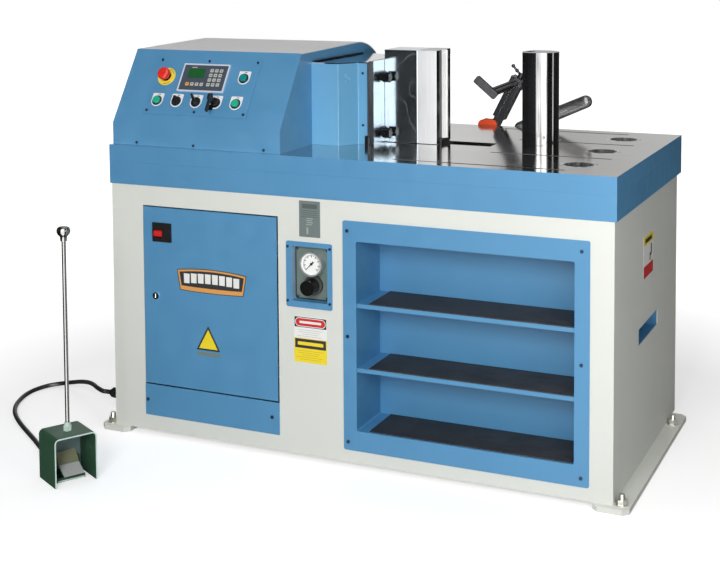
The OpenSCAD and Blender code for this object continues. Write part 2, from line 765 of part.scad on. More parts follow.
module gauge_needle() {
  color(dark) translate([dial_x, 0, dial_z]) rotate([0, 225, 0]) {
    bar_y(front_y - 5, front_y + 1.5, 4);
    bar_y(front_y - 5, front_y - 3.2, 8);
    along_y(front_y - 4.4, front_y - 3.4) polygon([[-3, -9], [3, -9], [1.6, 0], [0.5, 26], [-0.5, 26], [-1.6, 0]]);
  }
}

// Regulator knob with a ribbed grip
module regulator_knob() {
  y1 = front_y + pocket_d - 12;
  color(dark) translate([reg_x, 0, reg_z]) {
    bar_y(y1 - 2, y1 + 36, 12);
    difference() {
      bar_y(y1 - 38, y1 - 1, 44);
      for (i = [0:17]) rotate([0, i * 20, 0]) translate([22.6, 0, 0]) bar_y(y1 - 34, y1 - 6, 3);
    }
    bar_y(y1 - 1, y1 - loose_fit, 30);
  }
}

// ---- Panel devices ----------------------------------------------------------------------------------------------
// Push button cap: a disc that runs in its collar, with a domed face
module push_button(x, v, d, out) {
  on_slope() translate([x, 0, v]) {
    bar_y(-panel_t - 3 - out, 10, d);
    translate([0, -panel_t - 3 - out + 1.5, 0]) rotate([90, 0, 0])
      rotate_extrude() polygon([[0, 0], [d / 2 - 0.5, 0], [d / 2 - 2, 2.5], [0, 3]]);
  }
}
module button_left() { color([0.15, 0.65, 0.5]) push_button(button_row[0], row_v, device_d, 6); }
module button_right() { color([0.15, 0.65, 0.5]) push_button(button_row[4], row_v, device_d, 6); }
module button_top() { color([0.1, 0.5, 0.5]) push_button(top_button_x, top_button_v, device_d, 6); }

// Mushroom head of the emergency stop
module estop_button() {
  color([0.85, 0.12, 0.08]) on_slope() translate([estop_x, 0, estop_v]) rotate([90, 0, 0]) rotate_extrude()
    polygon([[0, -8], [11, -8], [11, 13], [14, 15], [19, 18], [20, 21], [20, 26], [18, 30], [13, 32], [0, 33]]);
}

// Selector: round body with a raised grip
module selector(x, grip) {
  color(dark) on_slope() translate([x, 0, row_v]) {
    bar_y(-panel_t - 9, 10, device_d);
    translate([0, -panel_t - 9, 0]) rotate([0, grip, 0]) block([-4, -10, -11], [4, 0.5, 11]);
  }
}
module selector_left() { selector(button_row[1], 0); }
module selector_right() {
  selector(button_row[2], -35);
  color(dark) on_slope() translate([button_row[2], -panel_t - 14, row_v]) rotate([0, -35, 0])
    block([-3, -4, 5], [3, 3, 24]);
}

// Key switch with its key and a second key on the ring
module key_switch() {
  color(dark) on_slope() translate([button_row[3], 0, row_v]) {
    bar_y(-panel_t - 14, 10, device_d);
    translate([0, -panel_t - 14, 0]) block([-2, -26, -5], [2, 0.5, 5]);
    translate([0, -panel_t - 38, 0]) rotate([0, 90, 0]) translate([0, 0, -3]) cylinder(h = 6, d = 26);
    translate([0, -panel_t - 38, -22]) block([-2.5, -6, -24], [2.5, 6, 12]);
  }
}

// ---- Hydraulics and electrics inside the cabinet ----------------------------------------------------------------
module oil_tank() {
  color(blue) difference() {
    block([-120, 20, foot_t + sheet_t], [330, 360, 330]);
    block([-114, 26, foot_t + sheet_t + 6], [324, 354, 324]);
  }
}

motor_x = 105;
motor_y = 190;
motor_z = 330;

// Flange motor standing upright on the tank, with cooling fins and a fan cowl
module pump_motor() {
  color([0.35, 0.38, 0.40]) translate([motor_x, motor_y, motor_z]) {
    cylinder(h = 14, d = 200);
    translate([0, 0, 14]) cylinder(h = 210, d = 156);
    for (i = [0:23]) rotate([0, 0, i * 15]) block([77, -1.5, 24], [88, 1.5, 214]);
    translate([0, 0, 224]) cylinder(h = 60, d = 178);
    block([76, -40, 90], [120, 40, 180]);
  }
}

// Pump below the motor flange is inside the tank; its manifold, valves and pipe stand beside the motor
module hydraulic_block() {
  color(steel) {
    block([-90, 120, 330], [-10, 240, 410]);
    for (y = [150, 210]) translate([-50, y, 410]) cylinder(h = 70, d = 40);
    for (y = [150, 210]) block([-72, y - 22, 480], [-28, y + 22, 530]);
    // pressure pipe: up from the block, bent towards the cylinder and through the table
    translate([-110, 180, 0]) {
      translate([0, 0, 370]) bar_x(0, 20, 16);
      translate([0, 0, 410]) rotate([-90, 0, 0]) rotate_extrude(angle = 90) translate([40, 0]) circle(d = 16);
      translate([-40, 0, 410]) cylinder(h = plate_z - 410, d = 16);
    }
  }
}

module electrics_plate() {
  plate_y = -250;
  color([0.75, 0.76, 0.78]) {
    block([-640, plate_y, foot_t + sheet_t], [-240, plate_y + 3, 690]);
    block([-640, plate_y + 3, foot_t + sheet_t], [-240, plate_y + 20, foot_t + sheet_t + 3]);
    for (r = [0, 1], i = [0:5]) translate([-600 + i * 54, 0, 300 + r * 170])
      block([0, plate_y - 78, 0], [45, plate_y, 82]);
    for (r = [0:2]) block([-620, plate_y - 40, 235 + r * 170], [-260, plate_y, 275 + r * 170]);
  }
}

// ---- Length stop behind the table -------------------------------------------------------------------------------
rail_y = table_by + 24;
rail_z = top_z - 33;
rail_d = 26;
rail_x0 = -190;
rail_x1 = 197;
clamp_x0 = 106;
clamp_x1 = 187;
clamp_w = 42;
arm_x = 162;                                   // arm's pivot
arm_z = top_z - 1;
arm_lean = 27;
arm_len = 160;
arm_w = 40;
tongue_w = 26;                                 // arm's foot between the clamp's cheeks
rod_len = 245;
rod_w = 20;
rod_drop = 2;
swing_x = 250;
swing_y = table_by + 29;
swing_z = top_z - 8;
swing_lean = 66;
swing_len = 240;
swing_pin = 16;
swing_flat = 18;                               // half the lever's thickness at the pin

// Round rail on two brackets at the table's rear edge, and the lug with the swing lever's pin
module backstop_rail() {
  color(steel) {
    translate([0, rail_y, rail_z]) bar_x(rail_x0, rail_x1, rail_d);
    for (x = [rail_x0, rail_x1 - 9]) block([x, table_by, rail_z - 18], [x + 9, rail_y + 18, rail_z + 18]);
    block([rail_x1, table_by, rail_z - 18], [swing_x + 18, table_by + 10, swing_z + 5]);
    translate([swing_x, 0, swing_z]) {
      bar_y(table_by + 9, swing_y + 22, swing_pin);
      bar_y(swing_y + swing_flat + 0.5, swing_y + swing_flat + 5, swing_pin + 10);
    }
  }
}

// Orange clamp that slides on the rail: two cheeks hold the arm's foot on a pin
module stop_clamp() {
  cheek_t = (clamp_w - tongue_w) / 2 - loose_fit;
  color([0.95, 0.33, 0.10]) {
    difference() {
      union() {
        block([clamp_x0, rail_y - clamp_w / 2, rail_z - 20], [clamp_x1, rail_y + clamp_w / 2, rail_z + 16.5]);
        for (y = [rail_y - clamp_w / 2, rail_y + clamp_w / 2 - cheek_t]) along_y(y, y + cheek_t) {
          translate([clamp_x0 + 18, top_z + 1]) circle(17);
          translate([clamp_x0 + 16, rail_z + 16]) square([46, top_z - rail_z + 1]);
          translate([arm_x - 6, top_z - 1]) circle(18);
        }
      }
      translate([0, rail_y, rail_z]) bar_x(clamp_x0 - 1, clamp_x1 + 1, rail_d + 2 * run_fit);
    }
    translate([arm_x, 0, arm_z]) bar_y(rail_y - clamp_w / 2, rail_y + clamp_w / 2, 10);
  }
}

// Grooved square arm with a flat foot, and the cross clamp on top
module stop_arm() {
  foot_h = 30;
  color(dark) translate([arm_x, rail_y, arm_z]) rotate([0, arm_lean, 0]) difference() {
    union() {
      bar_y(-tongue_w / 2, tongue_w / 2, 28);
      block([-14, -tongue_w / 2, 0], [14, tongue_w / 2, foot_h + 1]);
      difference() {
        block([-arm_w / 2, -arm_w / 2, foot_h], [arm_w / 2, arm_w / 2, arm_len]);
        for (t = [0:3]) rotate([0, 0, t * 90]) block([-4, -arm_w / 2 - 1, foot_h - 1], [4, -arm_w / 2 + 5, arm_len + 1]);
      }
      block([-22, -22, arm_len - 17], [22, 22, arm_len + 21]);
    }
    bar_y(-arm_w, arm_w, 10 + 2 * run_fit);
    translate([0, 0, arm_len + 2]) rotate([rod_drop, 0, 0])
      block([-rod_w / 2 - run_fit, -60, -rod_w / 2 - run_fit], [rod_w / 2 + run_fit, 60, rod_w / 2 + run_fit]);
    translate([0, 8, arm_len + 15]) cylinder(h = 10, d = 8 + 2 * run_fit);
  }
}

// Places what sits in and on the cross clamp
module on_cross_clamp() {
  translate([arm_x, rail_y, arm_z]) rotate([0, arm_lean, 0]) translate([0, 0, arm_len + 2]) children();
}

// Grooved stop rod with its paddle
module stop_rod() {
  color(dark) on_cross_clamp() rotate([rod_drop, 0, 0]) {
    difference() {
      block([-rod_w / 2, -rod_len, -rod_w / 2], [rod_w / 2, 34, rod_w / 2]);
      for (t = [0:3]) rotate([0, t * 90, 0]) block([-2.5, -rod_len + 5, rod_w / 2 - 3], [2.5, 35, rod_w / 2 + 1]);
    }
    translate([0, -rod_len, 0]) rotate([0, -arm_lean - 50, 0]) translate([0, 0, 24]) along_y(-8, 4) round_rect(26, 88, 5);
  }
}

// Locking lever on top of the cross clamp: a lobed hub with a bar and a ball
module clamp_lever() {
  color(dark) on_cross_clamp() translate([0, 8, 19]) {
    translate([0, 0, -5]) cylinder(h = 6, d = 8);
    translate([0, 0, loose_fit]) cylinder(h = 15, d = 19);
    translate([0, 0, 9]) rotate([0, -68, 0]) {
      cylinder(h = 36, d = 8);
      translate([0, 0, 21]) sphere(d = 13);
      translate([0, 0, 41]) sphere(d = 13);
    }
  }
}

// Tapered round lever with domed ends, flattened where it turns on the lug's pin
module swing_lever() {
  r0 = 23;
  r1 = 21;
  a = asin((r0 - r1) / swing_len);
  color(dark) translate([swing_x, swing_y, swing_z]) rotate([0, swing_lean, 0]) difference() {
    union() {
      sphere(r0);
      translate([0, 0, r0 * sin(a)]) cylinder(h = swing_len + (r1 - r0) * sin(a), r1 = r0 * cos(a), r2 = r1 * cos(a));
      translate([0, 0, swing_len]) sphere(r1);
    }
    for (s = [-1, 1]) translate([0, s * (swing_flat + 10), 0]) cube([60, 20, 76], center = true);
    bar_y(-40, 40, swing_pin + 2 * run_fit);
  }
}

// ---- Foot switch ------------------------------------------------------------------------------------------------
switch_at = [-676, -808];
switch_turn = 60;
guard_t = 4;
pedal_y = 26;
pedal_z = 46;
pedal_pin = 6;

module at_switch() { translate([switch_at[0], switch_at[1], 0]) rotate([0, 0, switch_turn]) children(); }

// Cast base with the pedal's two ears and pin
module foot_base() {
  color(green_cast) at_switch() {
    difference() {
      block([-42, -guard_d / 2 + 36, 0], [42, guard_d / 2 - guard_t, 12]);
      block([-33, -guard_d / 2 + 44, 8], [33, 5, 13]);
    }
    for (s = [-1, 1]) translate([s * 38 - 3, pedal_y, 0]) {
      block([0, -9, 12], [6, 9, pedal_z]);
      translate([0, 0, pedal_z]) bar_x(0, 6, 18);
    }
    translate([0, pedal_y, pedal_z]) bar_x(-40, 40, pedal_pin);
    translate([0, -guard_d / 2 + 48, 8]) cylinder(h = 7, d = 10);
  }
}

// Guard: bent sheet over the pedal, closed at the back
module foot_guard() {
  color(green_cast) at_switch() difference() {
    along_y(-guard_d / 2, guard_d / 2) guard_outline(0);
    along_y(-guard_d / 2 - 1, guard_d / 2 - guard_t) guard_outline(guard_t);
    translate([0, 0, exit_z]) bar_y(0, guard_d, 18);
  }
}

module guard_outline(t) {
  r = 14 - t;
  w = guard_w / 2 - t;
  h = guard_h - t;
  translate([-w, -t]) square([2 * w, h - r + t]);
  translate([-w + r, 0]) square([2 * (w - r), h]);
  for (s = [-1, 1]) translate([s * (w - r), h - r]) circle(r);
}

module pedal() {
  half = 30;
  color(bright) at_switch() translate([0, pedal_y, pedal_z]) {
    difference() {
      union() {
        bar_x(-34, 34, 14);
        along_x(-half, half) polygon([[-4, 2], [-28, -6], [-66, -25], [-67, -22.5], [-30, -2.5], [-8, 28], [-4, 28]]);
      }
      bar_x(-50, 50, pedal_pin + 2 * run_fit);
    }
  }
}

// Rod to carry the switch, with its nut and knob
module carry_rod() {
  rod = 12;
  color(bright) at_switch() {
    translate([0, 0, guard_h]) cylinder(h = 14, r = 12, $fn = 6);
    translate([0, 0, guard_h + 14]) cylinder(h = 9, d = 18);
    translate([0, 0, guard_h + 23]) cylinder(h = rod_top - guard_h - 23 - 30, d = rod);
    translate([0, 0, rod_top]) rotate_extrude()
      polygon([[0, -40], [9, -40], [10, -28], [17, -20], [19, -14], [19, -9], [17, -3], [12, 0], [0, 0]]);
  }
}

cable_d = 14;
exit_z = 50;                                   // height of the cable's exit from the guard
foot_gland = 28;                               // reach of the gland beyond the guard
side_gland = 44;                               // reach of the gland beyond the cabinet side
// Points behind the guard on the exit's axis, and points before the cabinet gland
function behind_guard(d) = [switch_at[0] - (guard_d / 2 + d) * sin(switch_turn),
  switch_at[1] + (guard_d / 2 + d) * cos(switch_turn), exit_z];
function before_cabinet(d, drop) = [-side_x - side_gland - d, gland_y, gland_z - drop];
// Free part of the route: over the floor in a wide bend and up to the cabinet
free_route = [[-804, -734, 40], [-830, -714, 27], [-858, -690, 16], [-890, -660, 9], [-930, -627, 7], [-975, -593, 7],
  [-1025, -556, 7], [-1075, -517, 7], [-1120, -478, 7], [-1158, -438, 7], [-1190, -392, 7], [-1214, -340, 7],
  [-1230, -286, 7], [-1232, -234, 7], [-1215, -190, 9], [-1182, -170, 14], [-1142, -174, 24], [-1100, -196, 38],
  [-1055, -226, 54], [-1008, -262, 70], [-962, -300, 84], [-920, -338, 94], [-888, -366, 98]];
cable_route = concat([behind_guard(foot_gland), behind_guard(foot_gland + 18), behind_guard(foot_gland + 36)],
  free_route, [before_cabinet(30, 0), before_cabinet(14, 0), before_cabinet(0, 0)]);

module cable_glands() {
  color(dark) {
    at_switch() translate([0, guard_d / 2, exit_z]) rotate([-90, 0, 0]) {
      translate([0, 0, -guard_t]) cylinder(h = guard_t + 1, d = 17.4);
      cylinder(h = 10, r = 13, $fn = 6);
      translate([0, 0, 10]) cylinder(h = foot_gland - 10, d1 = 22, d2 = cable_d + 3);
    }
    translate([-side_x, gland_y, gland_z]) rotate([0, -90, 0]) {
      translate([0, 0, -8]) cylinder(h = 30, d = gland_d - 0.6);
      cylinder(h = 8, r = 18, $fn = 6);
      translate([0, 0, 16]) cylinder(h = 18, r = 17, $fn = 6);
      translate([0, 0, 34]) cylinder(h = side_gland - 34, d1 = 30, d2 = cable_d + 4);
    }
  }
}

// A tube swept along a list of points: frames are carried forward so that the rings don't twist
function unit(v) = v / norm(v);
function tangent(p, i) = unit(p[min(i + 1, len(p) - 1)] - p[max(i - 1, 0)]);
function ring(c, t, r, n) =
  let (side = unit(cross(t, [0, 0, 1])), up = cross(side, t))
  [for (k = [0:n - 1]) c + r * (cos(k * 360 / n) * side + sin(k * 360 / n) * up)];
// Catmull-Rom point between p[i] and p[i + 1]
function between(p, i, u) =
  let (a = p[max(i - 1, 0)], b = p[i], c = p[i + 1], d = p[min(i + 2, len(p) - 1)])
  0.5 * (2 * b + (c - a) * u + (2 * a - 5 * b + 4 * c - d) * u * u + (3 * b - a - 3 * c + d) * u * u * u);
function refined(p) = concat([for (i = [0:len(p) - 2], u = [0, 0.5]) between(p, i, u)], [p[len(p) - 1]]);

module swept_tube(route, r, n) {
  p = refined(route);
  m = len(p);
  points = [for (i = [0:m - 1]) each ring(p[i], tangent(p, i), r, n)];
  sides = [for (i = [0:m - 2], k = [0:n - 1])
    [i * n + k, i * n + (k + 1) % n, (i + 1) * n + (k + 1) % n, (i + 1) * n + k]];
  polyhedron(points, concat([[for (k = [0:n - 1]) n - 1 - k]], sides, [[for (k = [0:n - 1]) (m - 1) * n + k]]));
}

module foot_cable() {
  color(dark) swept_tube(cable_route, cable_d / 2, 10);
}

// The origin is under the middle of the whole machine: from the guard's front corner to the stop rod's rear end
guard_corner = switch_at[1] - guard_w / 2 * sin(switch_turn) - guard_d / 2 * cos(switch_turn);
stop_rear = max(rail_y + 34 * cos(rod_drop) + rod_w / 2 * sin(rod_drop), foot_y1);
line_y = -(guard_corner + stop_rear) / 2;      // bending line behind the origin

// ---- Screws of the fixed panels ---------------------------------------------------------------------------------
module button_head(d) {
  difference() {
    union() {
      bar_y(0, 2, d * 0.6);
      bar_y(-2.5, 0, d);
    }
    bar_y(-3, -1, d * 0.45);
  }
}

module panel_screws() {
  color(dark) {
    for (x = shelf_screw_x, z = shelf_screw_z) translate([x, front_y - sheet_t, z]) button_head(10);
    for (p = lower_screws) translate([p[0], front_y - 2, p[1]]) button_head(10);
    for (p = gauge_screws) translate([p[0], front_y - 3, p[1]]) button_head(8);
    on_slope() for (x = [-168, 0, 168], v = [panel_v0 + 12, panel_v1 - 12]) translate([panel_x + x, -panel_t, v])
      bar_y(-2.5, 0, 8);
    for (x = [-1, 0, 1], z = [-1, 1]) translate([x * (rear_w / 2 - 14), back_y + 2, rear_z + z * (rear_h / 2 - 14)])
      rotate([0, 0, 180]) bar_y(-3, 0, 12);
    for (s = [-1, 1], z = [59, 217]) translate([-62, s * cheek_in, top_z + z]) rotate([0, 0, s > 0 ? 180 : 0]) bar_y(-2.5, 0, 8);
  }
}

placed() cabinet_shell();
placed() foot_plates();
placed() levelling_bolts();
placed() rear_panel();
placed() lift_pocket();
placed() table_frame();
placed() table_plate();
placed() table_inserts();
placed() hood_shell();
placed() hood_lid();
placed() control_panel();
placed() device_collars();
placed() operator_display();
placed() ram_cover();
placed() ram_roof();
placed() cylinder_barrel();
placed() die_post();
placed() shelf_box();
placed() shelf_mats();
placed() lower_panel();
placed() gauge_frame();
placed() gauge_plate();
placed() gauge_body();
placed() foot_base();
placed() foot_guard();
placed() carry_rod();
placed() cable_glands();
placed() foot_cable();
placed() oil_tank();
placed() pump_motor();
placed() hydraulic_block();
placed() electrics_plate();
placed() backstop_rail();
placed() panel_screws();
placed() ram_body();
placed() piston_rod();
placed() tool_block();
placed() punch();
placed() guide_key();
placed() tool_knob_upper();
placed() tool_knob_lower();
placed() door();
placed() door_latch();
placed() main_switch();
placed() switch_rocker();
placed() estop_button();
placed() button_left();
placed() button_right();
placed() button_top();
placed() selector_left();
placed() selector_right();
placed() key_switch();
placed() gauge_needle();
placed() regulator_knob();
placed() pedal();
placed() stop_clamp();
placed() stop_arm();
placed() stop_rod();
placed() clamp_lever();
placed() swing_lever();
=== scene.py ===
import math
import bmesh
import bpy
import numpy as np
from mathutils import Matrix, Vector


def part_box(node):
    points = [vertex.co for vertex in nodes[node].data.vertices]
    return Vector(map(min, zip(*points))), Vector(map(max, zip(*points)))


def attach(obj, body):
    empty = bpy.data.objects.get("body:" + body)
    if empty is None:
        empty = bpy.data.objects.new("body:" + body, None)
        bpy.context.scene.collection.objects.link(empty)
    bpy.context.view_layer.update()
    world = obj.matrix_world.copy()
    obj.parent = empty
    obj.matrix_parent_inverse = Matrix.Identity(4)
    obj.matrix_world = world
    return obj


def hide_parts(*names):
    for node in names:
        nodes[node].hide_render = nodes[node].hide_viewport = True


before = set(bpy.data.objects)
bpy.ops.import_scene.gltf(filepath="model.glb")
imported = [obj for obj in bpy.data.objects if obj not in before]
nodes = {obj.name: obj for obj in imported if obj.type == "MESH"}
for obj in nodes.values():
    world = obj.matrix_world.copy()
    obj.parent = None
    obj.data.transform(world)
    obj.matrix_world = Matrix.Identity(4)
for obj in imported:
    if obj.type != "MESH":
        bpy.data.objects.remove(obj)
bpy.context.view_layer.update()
tableLow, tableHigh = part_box("table_plate")
apronLip = 0.002  # how far the apron stands out from the cabinet's front
lineY = (tableLow.y + tableHigh.y) / 2 - apronLip  # bending line, measured from the origin
frontY = tableLow.y + apronLip  # cabinet front
tableTop = tableHigh.z
print("frame loaded:", len(nodes), "nodes")


# small helpers
def tone(r, g, b):  # screen colour 0..255 to linear light
    c = np.array([r, g, b]) / 255.0
    c = np.where(c <= 0.04045, c / 12.92, ((c + 0.055) / 1.055) ** 2.4)
    return (float(c[0]), float(c[1]), float(c[2]), 1.0)


def at(x, y, z):  # millimetres from the bending line's middle to the row frame
    return np.array([x / 1000.0, y / 1000.0 + lineY, z / 1000.0])


def facing(origin, u, v):  # a local frame: origin, then the directions of u, v and the outward w
    u, v = np.array(u, float), np.array(v, float)
    return np.array(origin, float), u, v, np.cross(u, v)


def facingFront(origin):  # u to the right, v upwards, w towards the operator
    return facing(origin, (1, 0, 0), (0, 0, 1))


def facingUp(origin):  # u to the right, v towards the rear, w upwards
    return facing(origin, (1, 0, 0), (0, 1, 0))


def shifted(plane, u, v, w=0.0):  # the same directions from another origin
    origin, a, b, c = plane
    return origin + (u * a + v * b + w * c) / 1000.0, a, b, c


def laid(plane, uvw):  # points (u, v, w) in millimetres to the row frame: origin + u*U + v*V + w*W
    origin, u, v, w = plane
    p = np.asarray(uvw, float) / 1000.0
    return origin + p[:, 0:1] * u + p[:, 1:2] * v + p[:, 2:3] * w


def meshOf(name, points, faces, finish, body, sharp=35.0):
    mesh = bpy.data.meshes.new(name)
    mesh.from_pydata(np.asarray(points).tolist(), [], faces)
    work = bmesh.new()
    work.from_mesh(mesh)
    bmesh.ops.remove_doubles(work, verts=work.verts, dist=1e-6)
    bmesh.ops.recalc_face_normals(work, faces=work.faces)
    work.to_mesh(mesh)
    work.free()
    mesh.polygons.foreach_set("use_smooth", [True] * len(mesh.polygons))
    mesh.set_sharp_from_angle(angle=math.radians(sharp))
    piece = bpy.data.objects.new(name, mesh)
    bpy.context.scene.collection.objects.link(piece)
    mesh.materials.append(finishes[finish])
    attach(piece, body)
    return piece


def rounded(piece, width, segments=3, angle=35.0):  # live bevel on sharp edges, width in millimetres
    bevel = piece.modifiers.new("edges", "BEVEL")
    bevel.width = width / 1000.0
    bevel.segments = segments
    bevel.limit_method = "ANGLE"
    bevel.angle_limit = math.radians(angle)
    return piece


def onCircle(a, r):  # points (r cos a, r sin a)
    return np.stack([np.cos(a), np.sin(a)], 1) * r


# outline: corners of a w by h rectangle with radius r, each corner a quarter circle of n + 1 points
def roundOutline(w, h, r, n=6, centre=(0, 0)):
    quarter = onCircle(np.linspace(0, np.pi / 2, n + 1), r)
    corners = []
    for k, (sx, sy) in enumerate([(1, 1), (-1, 1), (-1, -1), (1, -1)]):
        c, s = math.cos(k * np.pi / 2), math.sin(k * np.pi / 2)
        corners.append(quarter @ np.array([[c, s], [-s, c]]) + np.array([sx * (w / 2 - r), sy * (h / 2 - r)]))
    return np.concatenate(corners) + np.array(centre)


# walls: each face joins two neighbours in a closed row of n points to the same two in the next row;
# wrap joins the last row to the first
def walls(rows, n, wrap=False):
    i, k = np.meshgrid(np.arange(rows if wrap else rows - 1), np.arange(n), indexing="ij")
    j, m = (i + 1) % rows, (k + 1) % n
    return np.stack([i * n + k, i * n + m, j * n + m, j * n + k], -1).reshape(-1, 4)


# slabs: each outline at heights w0 and w1, joined all round and closed by a face at each end, in one mesh
def slabs(name, plane, outlines, w0, w1, finish, body="machine"):
    points, faces, base = [], [], 0
    for outline in outlines:
        n = len(outline)
        points += [np.column_stack([outline, np.full(n, w)]) for w in (w0, w1)]
        k = np.arange(n) + base
        faces += (walls(2, n) + base).tolist() + [k[::-1].tolist(), (k + n).tolist()]
        base += 2 * n
    return meshOf(name, laid(plane, np.concatenate(points)), faces, finish, body)


def slab(name, plane, outline, w0, w1, finish, body="machine"):
    return slabs(name, plane, [outline], w0, w1, finish, body)


# turned piece: radius and height pairs carried round the w axis, point = (r cos t, r sin t, h)
def turned(name, plane, profile, finish, centre=(0, 0), n=48, sharp=35.0):
    profile = np.asarray(profile, float)
    t = np.linspace(0, 2 * np.pi, n, endpoint=False)
    r, h = profile[:, 0][:, None], profile[:, 1][:, None]
    grid = np.stack([r * np.cos(t) + centre[0], r * np.sin(t) + centre[1], h + 0 * t], -1)
    faces = walls(len(profile), n).tolist()
    return meshOf(name, laid(plane, grid.reshape(-1, 3)), faces, finish, "machine", sharp)


# flat frame between two outlines with the same number of points, at heights w0 and w1
def frameRing(name, plane, outer, inner, w0, w1, finish):
    rows = [np.column_stack([edge, np.full(len(outer), w)])
            for edge, w in ((outer, w0), (outer, w1), (inner, w1), (inner, w0))]
    faces = walls(len(rows), len(outer), wrap=True).tolist()
    return meshOf(name, laid(plane, np.concatenate(rows)), faces, finish, "machine", 30.0)


# finishes
def newFinish(name, colour, metallic, roughness):
    finish = bpy.data.materials.new(name)
    finish.use_nodes = True
    tree = finish.node_tree
    shader = tree.nodes["Principled BSDF"]
    for key, value in (("Base Color", colour), ("Metallic", metallic), ("Roughness", roughness)):
        shader.inputs[key].default_value = value
    finish.diffuse_color = colour
    return finish, tree, shader


def feed(tree, socket, value):  # a socket takes a number or a colour, or the wire from another node
    if isinstance(value, (float, tuple)):
        socket.default_value = value
    else:
        tree.links.new(value, socket)


def arithmetic(tree, operation, *values):
    node = tree.nodes.new("ShaderNodeMath")
    node.operation = operation
    for socket, value in zip(node.inputs, values):
        feed(tree, socket, value)
    return node.outputs[0]


def coordinate(tree, stretch=(1, 1, 1)):
    place = tree.nodes.new("ShaderNodeTexCoord")
    mapping = tree.nodes.new("ShaderNodeMapping")
    mapping.inputs["Scale"].default_value = stretch
    tree.links.new(place.outputs["Object"], mapping.inputs["Vector"])
    return mapping.outputs["Vector"]


def noise(tree, vector, scale, detail=3.0, roughness=0.5):
    field = tree.nodes.new("ShaderNodeTexNoise")
    for key, number in (("Scale", scale), ("Detail", detail), ("Roughness", roughness)):
        field.inputs[key].default_value = number
    tree.links.new(vector, field.inputs["Vector"])
    return field.outputs["Fac"]


def remap(tree, value, a0, a1, b0, b1):  # a0..a1 to b0..b1, held at the ends
    node = tree.nodes.new("ShaderNodeMapRange")
    for key, number in (("From Min", a0), ("From Max", a1), ("To Min", b0), ("To Max", b1)):
        node.inputs[key].default_value = number
    tree.links.new(value, node.inputs["Value"])
    return node.outputs["Result"]


def blendColours(tree, factor, a, b):
    node = tree.nodes.new("ShaderNodeMix")
    node.data_type = "RGBA"
    for socket, value in ((node.inputs[6], a), (node.inputs[7], b), (node.inputs[0], factor)):
        feed(tree, socket, value)
    return node.outputs[2]


def mixShaders(tree, factor, a, b):  # a where the factor is 0, b where it is 1
    node = tree.nodes.new("ShaderNodeMixShader")
    for socket, value in zip(node.inputs, (factor, a, b)):
        tree.links.new(value, socket)
    return node.outputs[0]


def bumped(tree, height, shader, strength, distance, before=None):
    bump = tree.nodes.new("ShaderNodeBump")
    bump.inputs["Strength"].default_value = strength
    bump.inputs["Distance"].default_value = distance
    tree.links.new(height, bump.inputs["Height"])
    if before is not None:
        tree.links.new(before, bump.inputs["Normal"])
    tree.links.new(bump.outputs["Normal"], shader.inputs["Normal"])


def scaled(colour, k):
    return (min(colour[0] * k, 1), min(colour[1] * k, 1), min(colour[2] * k, 1), 1.0)


# sprayed paint: faint clouding, orange peel, and roughness that wanders a little
paintGrain = {"clouds": 2.3, "specks": 140.0, "speckFrom": 0.66, "speckTo": 0.74,
              "sheen": 18.0, "peel": 520.0, "depth": 0.0004}


def paint(name, colour, roughness, clouding, peel, gloss, specks=0.0):
    finish, tree, shader = newFinish(name, colour, 0.0, roughness)
    shader.inputs["Specular IOR Level"].default_value = gloss
    vector = coordinate(tree)
    wide = remap(tree, noise(tree, vector, paintGrain["clouds"], 4.0), 0.3, 0.7, 0.0, 1.0)
    colourOut = blendColours(tree, wide, scaled(colour, 1 - clouding), scaled(colour, 1 + clouding))
    if specks:
        field = noise(tree, vector, paintGrain["specks"], 2.0)
        spot = remap(tree, field, paintGrain["speckFrom"], paintGrain["speckTo"], 0.0, specks)
        colourOut = blendColours(tree, spot, colourOut, scaled(colour, 0.6))
    tree.links.new(colourOut, shader.inputs["Base Color"])
    cloud = noise(tree, vector, paintGrain["sheen"])
    sheen = remap(tree, cloud, 0.3, 0.7, roughness * 0.85, roughness * 1.15)
    tree.links.new(sheen, shader.inputs["Roughness"])
    bumped(tree, noise(tree, vector, paintGrain["peel"], 2.0), shader, peel, paintGrain["depth"])
    return finish


# ground or brushed metal: noise drawn out along one axis gives the lines
metalGrain = {"along": 6.0, "clouds": 3.1, "stainFrom": 0.45, "stainTo": 0.75,
              "stained": 0.45, "depth": 0.0001}


def groundMetal(name, colour, roughness, along, lines, contrast, depth, stain, metal=1.0):
    finish, tree, shader = newFinish(name, colour, metal, roughness)
    stretch = tuple(metalGrain["along"] if axis == along else lines for axis in "xyz")
    streak = noise(tree, coordinate(tree, stretch), 1.0, 4.0, 0.6)
    cloud = noise(tree, coordinate(tree), metalGrain["clouds"], 5.0)
    lines = remap(tree, streak, 0.3, 0.7, 0.0, 1.0)
    lined = blendColours(tree, lines, scaled(colour, 1 - contrast), scaled(colour, 1 + contrast))
    stained = remap(tree, cloud, metalGrain["stainFrom"], metalGrain["stainTo"], 0.0, stain)
    spotted = blendColours(tree, stained, lined, scaled(colour, metalGrain["stained"]))
    tree.links.new(spotted, shader.inputs["Base Color"])
    sheen = remap(tree, cloud, 0.3, 0.7, roughness * 0.75, roughness * 1.3)
    tree.links.new(sheen, shader.inputs["Roughness"])
    bumped(tree, streak, shader, depth, metalGrain["depth"])
    return finish


# moulded plastic or rubber: fine grain in the surface, a little dust in the colour
mouldGrain = {"dust": 11.0, "dustFrom": 0.4, "dustTo": 0.8, "pale": 0.05, "depth": 0.0002}


